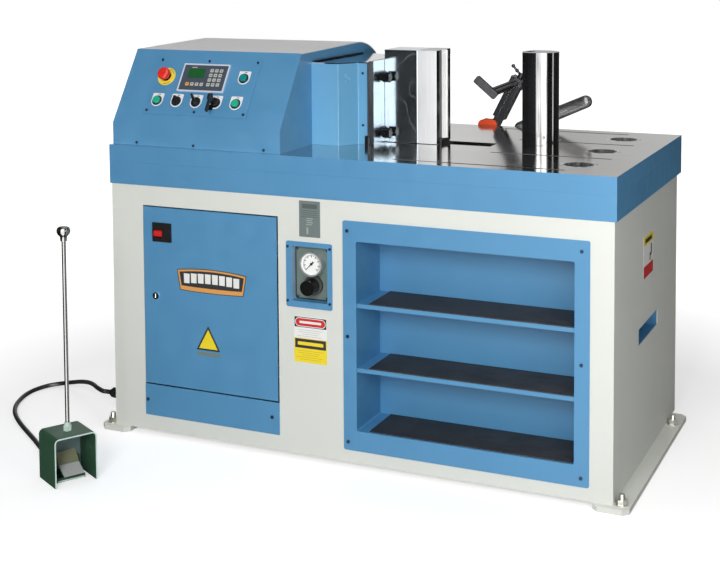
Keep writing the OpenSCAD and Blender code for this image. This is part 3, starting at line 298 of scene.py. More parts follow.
def moulded(name, colour, roughness, grain, grainScale, dust):
    finish, tree, shader = newFinish(name, colour, 0.0, roughness)
    vector = coordinate(tree)
    dusty = tuple(min(c + mouldGrain["pale"], 1.0) for c in colour[:3]) + (1.0,)
    field = noise(tree, vector, mouldGrain["dust"], 5.0)
    factor = remap(tree, field, mouldGrain["dustFrom"], mouldGrain["dustTo"], 0.0, dust * 4)
    tree.links.new(blendColours(tree, factor, colour, dusty), shader.inputs["Base Color"])
    bumped(tree, noise(tree, vector, grainScale, 2.0), shader, grain, mouldGrain["depth"])
    return finish


# paint: colour, roughness, clouding, orange peel, gloss, specks
# ground metal: colour, roughness, axis of the lines, their fineness, contrast, depth, stain, share of metal
# moulded: colour, roughness, grain, its fineness, dust
finishes = {
    "blue": paint("blueEnamel", tone(76, 139, 182), 0.45, 0.03, 0.05, 0.72),
    "cream": paint("creamPowderCoat", tone(224, 226, 219), 0.48, 0.02, 0.22, 0.30),
    # light blue: painted highlight on the gauge frame's inner side
    "paleBlue": paint("paintedHighlightBlue", tone(176, 208, 232), 0.35, 0.05, 0.05, 0.8),
    "lid": paint("lidEnamel", tone(226, 226, 227), 0.45, 0.03, 0.12, 0.3),
    "coverBlue": paint("coverEnamel", tone(104, 166, 205), 0.24, 0.03, 0.06, 0.8),
    "greyGreen": paint("panelGrey", tone(112, 128, 120), 0.55, 0.05, 0.10, 0.3),
    "plateGrey": paint("dataPlateGrey", tone(112, 124, 123), 0.50, 0.05, 0.10, 0.3),
    "plateBand": paint("dataPlateBand", tone(84, 94, 93), 0.50, 0.10, 0.10, 0.3),
    "plateMark": paint("dataPlateMark", tone(158, 170, 166), 0.50, 0.10, 0.10, 0.3),
    "footGreen": paint("darkGreenEnamel", tone(44, 80, 58), 0.40, 0.10, 0.30, 0.45, 0.25),
    "footInner": paint("innerGreyGreen", tone(150, 172, 176), 0.45, 0.08, 0.25, 0.4, 0.2),
    # pale green-white, used on the guard's mouth edges, the base's front edge, the rod's nut and a screw
    "footEdge": paint("paleGreenEdge", tone(214, 234, 224), 0.45, 0.08, 0.30, 0.4, 0.2),
    "orange": paint("orangeEnamel", tone(238, 82, 30), 0.42, 0.06, 0.15, 0.4),
    "tableSteel": groundMetal("groundTable", (0.58, 0.57, 0.555, 1), 0.12, "x", 300.0, 0.05, 0.05, 0.08),
    "waySteel": groundMetal("groundWay", (0.60, 0.595, 0.58, 1), 0.10, "y", 260.0, 0.05, 0.04, 0.06),
    "bushSteel": groundMetal("turnedBush", (0.70, 0.69, 0.67, 1), 0.14, "z", 70.0, 0.85, 0.02, 0.08, 0.85),
    # dark: painted shade in the table plate's bores and slot
    "grooveSteel": groundMetal("paintedShadeInRecesses", (0.16, 0.16, 0.15, 1), 0.35, "x", 200.0, 0.15, 0.10, 0.20),
    "ramSteel": groundMetal("polishedRam", (0.27, 0.305, 0.335, 1), 0.22, "z", 200.0, 0.04, 0.03, 0.08),
    "punchSteel": groundMetal("groundPunch", (0.66, 0.665, 0.675, 1), 0.42, "z", 280.0, 0.06, 0.10, 0.03, 0.35),
    # bluish base colour: painted reflection of the blue hood in the block's mirror faces
    "toolSteel": groundMetal("polishedBlockHoodReflection", (0.62, 0.71, 0.77, 1), 0.12, "z", 120.0, 0.08, 0.01, 0.03),
    # very dark: painted shade and dark reflection on the flats of the punch and the post
    "blackSteel": groundMetal("paintedShadeOnFlats", (0.07, 0.073, 0.078, 1), 0.13, "z", 120.0, 0.25, 0.06, 0.25),
    "postSteel": groundMetal("turnedPost", (0.20, 0.20, 0.20, 1), 0.11, "z", 200.0, 0.65, 0.02, 0.05),
    # near-white and not metal: painted highlight standing in for the reflection on the punch's nose
    "noseSteel": groundMetal("paintedNoseHighlight", (0.98, 0.98, 0.98, 1), 0.30, "z", 200.0, 0.04, 0.05, 0.02, 0.0),
    "leverSteel": groundMetal("drawnLever", (0.19, 0.19, 0.19, 1), 0.34, "x", 190.0, 0.45, 0.20, 0.20, 0.80),
    "knobBlack": moulded("ebonite", tone(9, 9, 10), 0.24, 0.05, 900.0, 0.02),
    "gripBlack": moulded("gripEbonite", tone(6, 6, 7), 0.30, 0.05, 900.0, 0.02),
    "rodChrome": groundMetal("smokedChrome", (0.22, 0.215, 0.205, 1), 0.18, "z", 90.0, 0.06, 0.02, 0.06),
    "keyBlack": moulded("oiledKey", tone(8, 8, 9), 0.45, 0.2, 500.0, 0.05),
    "roofSteel": groundMetal("mirrorSheet", (0.78, 0.79, 0.80, 1), 0.05, "x", 120.0, 0.02, 0.01, 0.04),
    "chrome": groundMetal("brightPlating", (0.78, 0.78, 0.77, 1), 0.10, "z", 90.0, 0.04, 0.02, 0.06),
    # partly metal, partly pale diffuse: the diffuse share is a painted reflection keeping the plated gauge case
    # bright
    "satin": groundMetal("satinCasePaintedReflection", (0.60, 0.61, 0.62, 1), 0.20, "z", 90.0, 0.06, 0.05, 0.06, 0.6),
    "zinc": groundMetal("zincPlating", (0.62, 0.61, 0.56, 1), 0.30, "z", 90.0, 0.10, 0.10, 0.15),
    "darkMetal": groundMetal("blackenedMetal", (0.10, 0.10, 0.105, 1), 0.38, "z", 120.0, 0.15, 0.10, 0.10),
    "armBlack": groundMetal("anodisedArm", (0.07, 0.07, 0.075, 1), 0.30, "z", 160.0, 0.15, 0.10, 0.10),
    "pedalMetal": paint("wornPedal", tone(178, 182, 180), 0.45, 0.10, 0.30, 0.5, 0.3),
    "pedalOlive": paint("olivePedal", tone(128, 130, 102), 0.50, 0.12, 0.30, 0.4, 0.4),
    "castDark": paint("castDark", tone(58, 60, 63), 0.55, 0.10, 0.45, 0.4),
    "motorGrey": paint("motorGrey", tone(104, 112, 118), 0.50, 0.08, 0.35, 0.4),
    "rubber": moulded("matRubber", tone(24, 22, 22), 0.62, 0.35, 260.0, 0.10),
    "cable": moulded("cableSheath", tone(30, 30, 31), 0.38, 0.15, 300.0, 0.05),
    "blackPlastic": moulded("blackPlastic", tone(12, 12, 14), 0.34, 0.15, 900.0, 0.04),
    "greyPlastic": moulded("greyPlastic", tone(150, 155, 160), 0.5, 0.2, 900.0, 0.05),
    "whitePlastic": moulded("whiteLegend", tone(236, 238, 240), 0.45, 0.06, 900.0, 0.02),
    "displayFace": moulded("displayFace", tone(66, 74, 88), 0.40, 0.05, 700.0, 0.04),
    "displayRim": moulded("displayRim", tone(206, 216, 228), 0.40, 0.10, 700.0, 0.03),
    "keyGrey": moulded("keyGrey", tone(188, 190, 182), 0.45, 0.10, 900.0, 0.05),
    "keyOrange": moulded("keyOrange", tone(236, 176, 70), 0.45, 0.10, 900.0, 0.05),
    "lcd": moulded("greenScreen", tone(26, 92, 44), 0.30, 0.02, 600.0, 0.02),
    "green": moulded("greenCap", tone(40, 178, 146), 0.25, 0.04, 600.0, 0.02),
    "teal": moulded("tealCap", tone(14, 138, 140), 0.22, 0.04, 600.0, 0.02),
    "red": moulded("redMushroom", tone(232, 44, 30), 0.30, 0.05, 600.0, 0.02),
    "redDark": moulded("redRocker", tone(214, 36, 34), 0.30, 0.05, 600.0, 0.02),
    "yellow": moulded("yellowRing", tone(250, 226, 70), 0.42, 0.05, 600.0, 0.03),
    "dial": moulded("paleDial", tone(222, 223, 220), 0.5, 0.03, 600.0, 0.02),
    "ink": moulded("printInk", tone(24, 24, 26), 0.45, 0.03, 600.0, 0.02),
    "labelRed": moulded("labelRed", tone(206, 36, 40), 0.42, 0.04, 500.0, 0.03),
    "faintGrey": moulded("faintPrint", tone(206, 206, 204), 0.45, 0.03, 600.0, 0.02),
    "faintOlive": moulded("faintOlivePrint", tone(206, 186, 44), 0.45, 0.03, 600.0, 0.02),
    "labelWhite": moulded("labelWhite", tone(240, 240, 236), 0.42, 0.04, 500.0, 0.03),
    "labelYellow": moulded("labelYellow", tone(246, 220, 40), 0.42, 0.04, 500.0, 0.03),
    "tan": moulded("tanRim", tone(226, 158, 84), 0.42, 0.04, 500.0, 0.03),
    "screwBlue": groundMetal("blackenedScrew", (0.035, 0.055, 0.10, 1), 0.40, "z", 120.0, 0.15, 0.10, 0.10),
}


def ribbed(finish, scale, strength, distance, axis):  # adds parallel ribs to a moulded finish
    tree = finish.node_tree
    wave = tree.nodes.new("ShaderNodeTexWave")
    wave.bands_direction = axis
    wave.inputs["Scale"].default_value = scale
    tree.links.new(coordinate(tree), wave.inputs["Vector"])
    shader = tree.nodes["Principled BSDF"]
    before = shader.inputs["Normal"].links[0].from_socket
    bumped(tree, wave.outputs["Fac"], shader, strength, distance, before)


def recoloured(tree, shader, factor, colour):  # lays a colour over what the finish already shows
    before = shader.inputs["Base Color"].links[0].from_socket
    tree.links.new(blendColours(tree, factor, before, colour), shader.inputs["Base Color"])


def scratched(finish, scale, width, amount, colour):  # thin wandering lines where the metal is dull and pale
    tree = finish.node_tree
    shader = tree.nodes["Principled BSDF"]
    middle = arithmetic(tree, "SUBTRACT", noise(tree, coordinate(tree), scale, 1.0), 0.5)
    size = arithmetic(tree, "ABSOLUTE", middle)
    recoloured(tree, shader, remap(tree, size, 0.0, width, amount, 0.0), colour)
    tree.links.new(remap(tree, size, 0.0, width, 1.0 - amount, 1.0), shader.inputs["Metallic"])


def dusted(finish, first, last, colour, amount):  # paler towards the right end, in drawn-out streaks
    tree = finish.node_tree
    parts = tree.nodes.new("ShaderNodeSeparateXYZ")
    tree.links.new(coordinate(tree), parts.inputs[0])
    rightwards = remap(tree, parts.outputs["X"], first, last, 0.15, 1.0)
    smears = noise(tree, coordinate(tree, (18.0, 130.0, 18.0)), 1.0, 4.0)
    streaks = remap(tree, smears, 0.35, 0.75, 0.0, amount)
    recoloured(tree, tree.nodes["Principled BSDF"], arithmetic(tree, "MULTIPLY", rightwards, streaks), colour)


ribbed(finishes["rubber"], 60.0, 0.4, 0.0008, "X")
gripShader = finishes["gripBlack"].node_tree.nodes["Principled BSDF"]
gripShader.inputs["Specular IOR Level"].default_value = 0.10
# the scratch colour carries the same blue tint, the painted reflection of the hood
scratched(finishes["toolSteel"], 9.0, 0.010, 0.16, (0.45, 0.55, 0.62, 1))
scratched(finishes["tableSteel"], 7.0, 0.003, 0.30, (0.8, 0.8, 0.78, 1))
dusted(finishes["rubber"], 0.25, 0.68, tone(92, 80, 77), 0.42)
finishes["glass"] = bpy.data.materials.new("gaugeGlass")
finishes["glass"].use_nodes = True
glassShader = finishes["glass"].node_tree.nodes["Principled BSDF"]
glassLook = {"Base Color": (0.95, 0.97, 0.97, 1), "Roughness": 0.04,
             "Transmission Weight": 1.0, "IOR": 1.2, "Alpha": 0.15}
for key, value in glassLook.items():
    glassShader.inputs[key].default_value = value
print("finishes made:", len(finishes))


# CAD nodes: finishes and rounded edges
def dress(node, *names):
    mesh = nodes[node].data
    mesh.materials.clear()
    for name in names:
        mesh.materials.append(finishes[name])


def faceData(node, *names):  # dresses a node in several finishes; gives every face's centre and normal
    dress(node, *names)
    mesh = nodes[node].data
    centre, normal = np.zeros((2, len(mesh.polygons) * 3))
    mesh.polygons.foreach_get("center", centre)
    mesh.polygons.foreach_get("normal", normal)
    return centre.reshape(-1, 3), normal.reshape(-1, 3)


def paintFaces(node, index):
    nodes[node].data.polygons.foreach_set("material_index", np.asarray(index, np.int32))


def softened(node, width, angle=40.0):  # join the loose faces, round the sharp edges, even the shading
    piece = nodes[node]
    piece.data.polygons.foreach_set("use_smooth", [True] * len(piece.data.polygons))
    weld = piece.modifiers.new("join", "WELD")
    weld.merge_threshold = 1e-5
    if width > 0:
        flat = piece.modifiers.new("planes", "DECIMATE")
        flat.decimate_type = "DISSOLVE"
        flat.angle_limit = math.radians(0.4)
        rounded(piece, width, 2, angle)
        even = piece.modifiers.new("shading", "WEIGHTED_NORMAL")
        even.keep_sharp = False
    else:
        split = piece.modifiers.new("shading", "EDGE_SPLIT")
        split.split_angle = math.radians(angle)


# finish: its nodes; nodes with several finishes are dressed again below. Rounding in millimetres, 0 elsewhere
wear = {
    "cream": "cabinet_shell foot_plates rear_panel",
    "zinc": "levelling_bolts hydraulic_block",
    "blue": "lift_pocket table_frame hood_shell control_panel shelf_box lower_panel gauge_frame "
            "oil_tank door",
    "tableSteel": "table_plate",
    "waySteel": "table_inserts",
    "lid": "hood_lid",
    "blackPlastic": "device_collars cable_glands main_switch selector_left selector_right key_switch "
                    "clamp_lever",
    "displayRim": "operator_display",
    "coverBlue": "ram_cover",
    "roofSteel": "ram_roof",
    "castDark": "cylinder_barrel",
    "postSteel": "die_post",
    "rubber": "shelf_mats",
    "greyGreen": "gauge_plate",
    "satin": "gauge_body",
    "footGreen": "foot_base foot_guard",
    "rodChrome": "carry_rod",
    "cable": "foot_cable",
    "motorGrey": "pump_motor",
    "greyPlastic": "electrics_plate",
    "chrome": "backstop_rail piston_rod door_latch",
    "screwBlue": "panel_screws",
    "ramSteel": "ram_body",
    "toolSteel": "tool_block",
    "punchSteel": "punch",
    "keyBlack": "guide_key",
    "gripBlack": "tool_knob_upper tool_knob_lower",
    "redDark": "switch_rocker",
    "red": "estop_button",
    "green": "button_left button_right",
    "teal": "button_top",
    "ink": "gauge_needle",
    "knobBlack": "regulator_knob",
    "pedalMetal": "pedal",
    "orange": "stop_clamp",
    "armBlack": "stop_arm",
    "darkMetal": "stop_rod",
    "leverSteel": "swing_lever",
}
rounding = {"foot_plates": 1.0, "levelling_bolts": 0.5, "table_frame": 0.8, "hood_shell": 1.2,
            "operator_display": 0.6, "ram_cover": 1.2, "shelf_mats": 0.5, "tool_block": 0.6, "stop_arm": 0.5}
for finish, names in wear.items():
    for name in names.split():
        dress(name, finish)
        softened(name, rounding.get(name, 0))

# where a node changes its finish: places in metres in the row frame, depths from the foot switch's middle
parting = {"hair": 1e-4, "bushFrom": 0.36, "noseFrom": 0.1485, "noseHalf": 0.012, "nutTop": 0.1615,
           "olive": (0.3, 0.75), "guardBack": -0.045, "guardMouth": 0.015,
           "dialRadius": 0.0315, "dialStep": 0.003, "baseTop": 0.545, "frameSide": (-0.175, -0.14)}
gaugeAt, regulatorAt = at(-98, -424, 580), at(-100, -413, 515)
footAt = (-676, -808)
side, half = math.sin(math.radians(60)), 0.5  # the foot switch faces 30 degrees off the machine's front
mouth = np.array([side, -half, 0.0])

# the table plate is ground on top and in its bores, and painted round its edge; its bores and other sunk faces
# are dark, painted shade in the recesses
centre, normal = faceData("table_plate", "tableSteel", "blue", "grooveSteel")
atEnds = (centre[:, 0] < tableLow.x + parting["hair"]) | (centre[:, 0] > tableHigh.x - parting["hair"])
atSides = (centre[:, 1] < tableLow.y + parting["hair"]) | (centre[:, 1] > tableHigh.y - parting["hair"])
rim = (np.abs(normal[:, 2]) < 0.5) & (atEnds | atSides)
sunk = (~rim) & (centre[:, 2] < tableTop - parting["hair"])
paintFaces("table_plate", np.where(rim, 1, np.where(sunk, 2, 0)))
centre, normal = faceData("table_inserts", "waySteel", "bushSteel")
paintFaces("table_inserts", centre[:, 0] > parting["bushFrom"])
# the punch's flats beside its nose are painted dark, and so are the post's flats: painted shade and dark
# reflection
centre, normal = faceData("punch", "punchSteel", "blackSteel", "noseSteel")
# the punch's nose gets the painted highlight
nose = centre[:, 0] > parting["noseFrom"]
offLine = np.abs(centre[:, 1] - lineY) > parting["noseHalf"]
besideNose = (normal[:, 0] > 0.9) & (centre[:, 0] < parting["noseFrom"]) & offLine
paintFaces("punch", np.where(besideNose, 1, np.where(nose, 2, 0)))
centre, normal = faceData("die_post", "postSteel", "blackSteel")
paintFaces("die_post", (np.abs(normal[:, 1]) > 0.9995) & (centre[:, 2] > tableTop))
centre, normal = faceData("pedal", "pedalMetal", "pedalOlive")
paintFaces("pedal", (normal[:, 2] > parting["olive"][0]) & (normal[:, 2] < parting["olive"][1]))
# bright cut edges of the foot guard's mouth, and the paler wall at the back of its inside
centre, normal = faceData("foot_guard", "footGreen", "footEdge", "footInner")
depth = centre @ mouth - at(*footAt, 0) @ mouth
facingOut = normal @ mouth > 0.95
inner = facingOut & (depth < parting["guardBack"])
paintFaces("foot_guard", np.where(inner, 2, np.where(facingOut & (depth > parting["guardMouth"]), 1, 0)))
centre, normal = faceData("carry_rod", "rodChrome", "footEdge")
paintFaces("carry_rod", centre[:, 2] < parting["nutTop"])
# pale dial in a plated case, dark regulator base, and the frame's inner side facing right painted light blue, a
# painted highlight
centre, normal = faceData("gauge_body", "satin", "dial", "castDark")
onDial = np.hypot(centre[:, 0] - gaugeAt[0], centre[:, 2] - gaugeAt[2]) < parting["dialRadius"]
dialFace = (normal[:, 1] < -0.9) & onDial & (centre[:, 1] > frontY - parting["dialStep"])
base = centre[:, 2] < parting["baseTop"]
paintFaces("gauge_body", np.where(dialFace, 1, np.where(base, 2, 0)))
centre, normal = faceData("gauge_frame", "blue", "paleBlue")
first, last = parting["frameSide"]
paintFaces("gauge_frame", (normal[:, 0] > 0.9) & (centre[:, 0] > first) & (centre[:, 0] < last))
print("CAD nodes dressed")

# camera at the viewing angle: millimetres and degrees
lens = {"focal": 67.93, "sensor": 36.0, "near": 0.05, "far": 60.0, "shift_x": 0.004, "shift_y": -0.334,
        "yaw": -24.41, "pitch": -3.94, "roll": -0.36, "place": (1613.7, -3868.7, 1485.6)}
camera = bpy.data.cameras.new("viewCamera")
viewer = bpy.data.objects.new("viewCamera", camera)
bpy.context.scene.collection.objects.link(viewer)
camera.lens, camera.sensor_width = lens["focal"], lens["sensor"]
camera.shift_x, camera.shift_y = lens["shift_x"], lens["shift_y"]
camera.clip_start, camera.clip_end = lens["near"], lens["far"]
yaw, pitch, roll = (math.radians(lens[k]) for k in ("yaw", "pitch", "roll"))
ahead = np.array([math.sin(yaw) * math.cos(pitch), math.cos(yaw) * math.cos(pitch), math.sin(pitch)])
right = np.array([math.cos(yaw), -math.sin(yaw), 0.0])
up = np.cross(right, ahead)
right, up = math.cos(roll) * right + math.sin(roll) * up, -math.sin(roll) * right + math.cos(roll) * up
turn = Matrix(np.column_stack([right, up, -ahead]).tolist()).to_4x4()
viewer.matrix_world = Matrix.Translation(Vector(at(*lens["place"]))) @ turn
# the shift belongs to this one camera place: its value is the rotation mode (1 for Euler angles, 0 for
# a quaternion) times the shift, so a camera that is moved and turned by quaternion has none
for path in ("shift_x", "shift_y"):
    held = camera.driver_add(path)
    held.driver.type = "SUM"
    target = held.driver.variables.new().targets[0]
    target.id, target.data_path = viewer, "rotation_mode"
    rule = held.modifiers[0] if len(held.modifiers) else held.modifiers.new("GENERATOR")
    rule.coefficients = (0.0, lens[path])
bpy.context.scene.camera = viewer

# free cable of the foot switch, in millimetres: from the guard's gland over the floor to the cabinet's
cableRoute = {
    "diameter": 14.0, "sides": 20, "steps": 6, "lowest": 7.05,
    "guardReach": 55, "guardSteps": (28, 46, 64), "guardHeight": 50,
    "gland": (-824, -385, 98), "glandSteps": (30, 14, 0),
    "free": [
        [-804, -734, 40], [-830, -714, 27], [-858, -690, 16], [-890, -660, 9], [-930, -627, 7],
        [-975, -593, 7], [-1025, -556, 7], [-1075, -517, 7], [-1120, -478, 7], [-1158, -438, 7],
        [-1190, -392, 7], [-1214, -340, 7], [-1230, -286, 7], [-1232, -234, 7], [-1215, -190, 9],
        [-1182, -170, 14], [-1142, -174, 24], [-1100, -196, 38], [-1055, -226, 54], [-1008, -262, 70],
        [-962, -300, 84], [-920, -338, 94], [-888, -366, 98]],
}
reaches = [cableRoute["guardReach"] + d for d in cableRoute["guardSteps"]]
fromGuard = [[footAt[0] - d * side, footAt[1] + d * half, cableRoute["guardHeight"]] for d in reaches]
glandX, glandY, glandZ = cableRoute["gland"]
intoGland = [[glandX - d, glandY, glandZ] for d in cableRoute["glandSteps"]]
knots = np.array(fromGuard + cableRoute["free"] + intoGland)


# smooth line through the knots, each stretch a cubic that keeps the neighbours' direction
def smoothLine(p, steps):
    a = np.vstack([p[:1], p[:-1]])[:-1]
    b, c = p[:-1], p[1:]
    d = np.vstack([p[2:], p[-1:]])
    u = (np.arange(steps) / steps)[None, :, None]
    a, b, c, d = a[:, None], b[:, None], c[:, None], d[:, None]
    square, cube = 2 * a - 5 * b + 4 * c - d, 3 * b - a - 3 * c + d
    line = 0.5 * (2 * b + (c - a) * u + square * u ** 2 + cube * u ** 3)
    return np.vstack([line.reshape(-1, 3), p[-1:]])


# tube: rings of the given radius square to the line, ends closed
def tube(name, line, radius, sides, finish, body):
    heading = np.gradient(line, axis=0)
    heading /= np.linalg.norm(heading, axis=1, keepdims=True)
    across = np.cross(heading, [0, 0, 1.0])
    across /= np.linalg.norm(across, axis=1, keepdims=True)
    over = np.cross(across, heading)
    t = np.linspace(0, 2 * np.pi, sides, endpoint=False)
    c, s = np.cos(t)[None, :, None], np.sin(t)[None, :, None]
    rings = line[:, None] + radius * (c * across[:, None] + s * over[:, None])
    m = len(line)
    ends = [list(range(sides))[::-1], list(range((m - 1) * sides, m * sides))]
    return meshOf(name, rings.reshape(-1, 3), walls(m, sides).tolist() + ends, finish, body, 60.0)


line = smoothLine(knots, cableRoute["steps"])
line[:, 2] = np.maximum(line[:, 2], cableRoute["lowest"])
line = line / 1000 + [0, lineY, 0]
footCable = tube("footCable", line, cableRoute["diameter"] / 2000.0, cableRoute["sides"], "cable", "machine")
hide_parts("foot_cable")

# control panel: places along and up the sloping plate in millimetres
devices = {"foot": (0, -401, 955), "slope": (143.0, 216.0), "row": 80.0, "first": -652.0, "pitch": 68.6,
           "top": (-375.0, 166.0), "stop": (-645.0, 163.0), "plate": 2.0}
lean = math.atan2(*devices["slope"])
slope = facing(at(*devices["foot"]), (1, 0, 0), (0, math.sin(lean), math.cos(lean)))
spots = [(devices["first"] + k * devices["pitch"], devices["row"]) for k in range(5)] + [devices["top"]]
legend = {"radius": 19.8, "rise": 24.5, "corner": 2, "hole": 16.3, "thick": 1.4,
          "mark": (9, 2.0, 0.9), "markAt": (3, 20.4), "ink": 0.15}


# legend plate: half circle below, square shoulders above
def legendOutline(r, rise, cut):
    arc = onCircle(np.linspace(np.pi, 2 * np.pi, 25), r)
    return np.vstack([arc, [[r, rise - cut], [r - cut, rise], [-r + cut, rise], [-r, rise - cut]]])


plateShape = legendOutline(legend["radius"], legend["rise"], legend["corner"])
plateHole = onCircle(np.arctan2(plateShape[:, 1], plateShape[:, 0]), legend["hole"])
for k, (u, v) in enumerate(spots):
    plane = shifted(slope, u, v, devices["plate"])
    plate = frameRing("legendPlate%d" % k, plane, plateShape, plateHole, 0.0, legend["thick"], "whitePlastic")
    slab("legendMark%d" % k, shifted(plane, *legend["markAt"]), roundOutline(*legend["mark"]),
         legend["thick"], legend["thick"] + legend["ink"], "ink")
stopRing = {"profile": [(15.6, 0), (30, 0), (30, 1.4), (29, 2.4), (16.6, 2.4), (15.6, 1.6), (15.6, 0)],
            "arcs": (20, 140, 260), "sweep": 55, "outer": 26.2, "inner": 24.8, "top": 2.4, "ink": 0.15}
stopPlane = shifted(slope, *devices["stop"], devices["plate"])
turned("yellowRing", stopPlane, stopRing["profile"], "yellow", n=72)
arcs = []
for begin in stopRing["arcs"]:
    a = np.radians(np.linspace(begin, begin + stopRing["sweep"], 12))
    arcs.append(np.vstack([onCircle(a, stopRing["outer"]), onCircle(a, stopRing["inner"])[::-1]]))
slabs("ringArcs", stopPlane, arcs, stopRing["top"], stopRing["top"] + stopRing["ink"], "ink")
keyTag = {"switch": 3, "step": (-11, -17), "shape": (15, 16, 4, 5), "from": 2.0, "to": 5.5}
tagAt = np.add(spots[keyTag["switch"]], keyTag["step"])
slab("keyTag", shifted(slope, *tagAt, devices["plate"]), roundOutline(*keyTag["shape"]),
     keyTag["from"], keyTag["to"], "knobBlack")
print("control panel trimmed")

# operator display: places from its lower left corner
display = {
    "width": 162.0, "height": 96.0, "centre": (-511.0, 161.0), "raised": 5.0,
    "face": (151.6, 85.6, 2), "faceTop": 0.7,
    "screen": (24.0, 82.0, 47.0, 79.0), "columns": (104.0, 120.5, 137.0), "rows": (25.0, 41.0, 57.0, 73.0),
    "lowColumns": (30.5, 47.5, 64.0, 80.5), "key": (11.5, 11.0), "keyRadius": 1.6, "keyTop": 1.7, "ink": 0.08,
    "keyEdge": 0.3, "keyMark": (5.6, 2.2, 0.8, 3), "lowMark": (5.0, 2.0, 0.8, 3), "aside": 0.8, "above": 1.0,
    "mark": (18, 3.0, 1.2, 3, (40, 82.5)), "markHigh": 0.15, "screenRadius": 1.2, "screenTop": 1.0}
midU, midV = display["centre"]
halfU, halfV = display["width"] / 2, display["height"] / 2
corner = shifted(slope, midU - halfU, midV - halfV, devices["plate"] + display["raised"])
faceTop, keyTop = display["faceTop"], display["keyTop"]
slab("displayFace", shifted(corner, halfU, halfV), roundOutline(*display["face"]),
     0.0, faceTop, "displayFace")
u0, u1, v0, v1 = display["screen"]
screenShape = roundOutline(u1 - u0, v1 - v0, display["screenRadius"])
slab("displayScreen", shifted(corner, (u0 + u1) / 2, (v0 + v1) / 2), screenShape,
     faceTop, display["screenTop"], "lcd")
block = [(u, v) for u in display["columns"] for v in display["rows"]]
lowRow = [(u, display["rows"][0]) for u in display["lowColumns"]]
keys = [roundOutline(*display["key"], display["keyRadius"], 4, spot) for spot in block + lowRow]
orange = keys.pop(len(block))  # the first key of the low row
rounded(slabs("displayKeys", corner, keys, faceTop, keyTop, "keyGrey"), display["keyEdge"], 2)
rounded(slab("displayKeyFirst", corner, orange, faceTop, keyTop, "keyOrange"), display["keyEdge"], 2)
keyMarks = [roundOutline(*display["keyMark"], (u + display["aside"], v)) for u, v in block]
keyMarks += [roundOutline(*display["lowMark"], (u, v + display["above"])) for u, v in lowRow]
slabs("displayKeyMarks", corner, keyMarks, keyTop, keyTop + display["ink"], "ink")
slab("displayMark", corner, roundOutline(*display["mark"]), faceTop, faceTop + display["markHigh"], "keyGrey")
print("display made")

# gauge panel
dial = {"centre": (-98, -423.0, 580), "ticks": 41, "first": 225, "step": 6.75, "each": 5, "outer": 27.5,
        "long": (19.0, 1.0), "short": (22.5, 0.5), "ink": 0.15,
        "glass": [(0, 4.2), (20, 4.0), (31.0, 3.4), (31.0, 4.4), (20, 5.0), (0, 5.2)]}
dialPlane = facingFront(at(*dial["centre"]))
ticks = []
for k in range(dial["ticks"]):  # every fifth tick is longer
    a = math.radians(dial["first"] - k * dial["step"])
    inner, w = dial["long"] if k % dial["each"] == 0 else dial["short"]
    d, s = np.array([math.cos(a), math.sin(a)]), np.array([-math.sin(a), math.cos(a)]) * w
    ticks.append(np.array([d * inner - s, d * dial["outer"] - s, d * dial["outer"] + s, d * inner + s]))
slabs("dialTicks", dialPlane, ticks, 0.0, dial["ink"], "ink")
dialGlass = turned("gaugeGlass", dialPlane, dial["glass"], "glass", n=64, sharp=80)
dataPlate = {"centre": (-104, -421, 709.5), "size": (67, 105), "thick": 0.8, "low": 0.86, "high": 0.88,
             "band": (48, 13, 1.0, 3, (0, 37)), "rule": (52, 1.6, 0.6, 3), "bar": (20, 2.6, 1.2, 3),
             "block": (6, 20, 1.0, 3, (-7, -34)), "rows": 4, "pitch": 6, "ruleFrom": 24, "barFrom": 2}
platePlane = facingFront(at(*dataPlate["centre"]))
top, low, high = dataPlate["thick"], dataPlate["low"], dataPlate["high"]
rounded(slab("dataPlate", platePlane, roundOutline(*dataPlate["size"], 1.5), 0.0, top, "plateGrey"), 0.25, 2)
slab("dataPlateBand", platePlane, roundOutline(*dataPlate["band"]), top, low, "plateBand")
rows = [(k % 2, dataPlate["pitch"] * k) for k in range(dataPlate["rows"])]
rules = [roundOutline(*dataPlate["rule"], (0, dataPlate["ruleFrom"] - down)) for odd, down in rows]
slabs("dataPlateRules", platePlane, rules, top, low, "plateBand")
bars = [roundOutline(*dataPlate["bar"], (1 - 3 * odd, dataPlate["barFrom"] - down)) for odd, down in rows]
bars += [roundOutline(*dataPlate["block"])]
slabs("dataPlateFields", platePlane, bars, top, high, "plateMark")

panelLow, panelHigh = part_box("gauge_plate")
innerPlane = facingFront((0, panelLow.y, 0))
panelMid = ((panelLow.x + panelHigh.x) * 500, (panelLow.z + panelHigh.z) * 500)
panelW, panelH = (panelHigh.x - panelLow.x) * 1000, (panelHigh.z - panelLow.z) * 1000
# thin black ring round the gauge plate: painted shadow in the gap between plate and frame
panelGapShade = {"edges": [(1, 8), (7, 6)], "high": 1.2}  # edge: how much smaller than the plate, corner radius
gapShadeEdges = [roundOutline(panelW - less, panelH - less, r, 6, panelMid) for less, r in panelGapShade["edges"]]
frameRing("gaugePlateGapShade", innerPlane, *gapShadeEdges, 0.0, panelGapShade["high"], "blackPlastic")
panelScrew = {"inset": 8, "profile": [(0, 0), (4.2, 0), (4.0, 1.6), (2.4, 2.8), (0, 3.2)]}
for k, (su, sv) in enumerate([(-1, -1), (1, -1), (1, 1), (-1, 1)]):
    halfW, halfH = panelW / 2 - panelScrew["inset"], panelH / 2 - panelScrew["inset"]
    place = (panelMid[0] + su * halfW, panelMid[1] + sv * halfH)
    turned("gaugePlateScrew%d" % k, innerPlane, panelScrew["profile"], "blackPlastic", place, 20)
regulatorRing = {"back": 0.006, "profile": [(22.4, 0), (25.5, 0), (25.5, 4), (24.5, 5), (22.4, 5), (22.4, 0)]}
ringPlane = facingFront(regulatorAt + [0, regulatorRing["back"], 0])
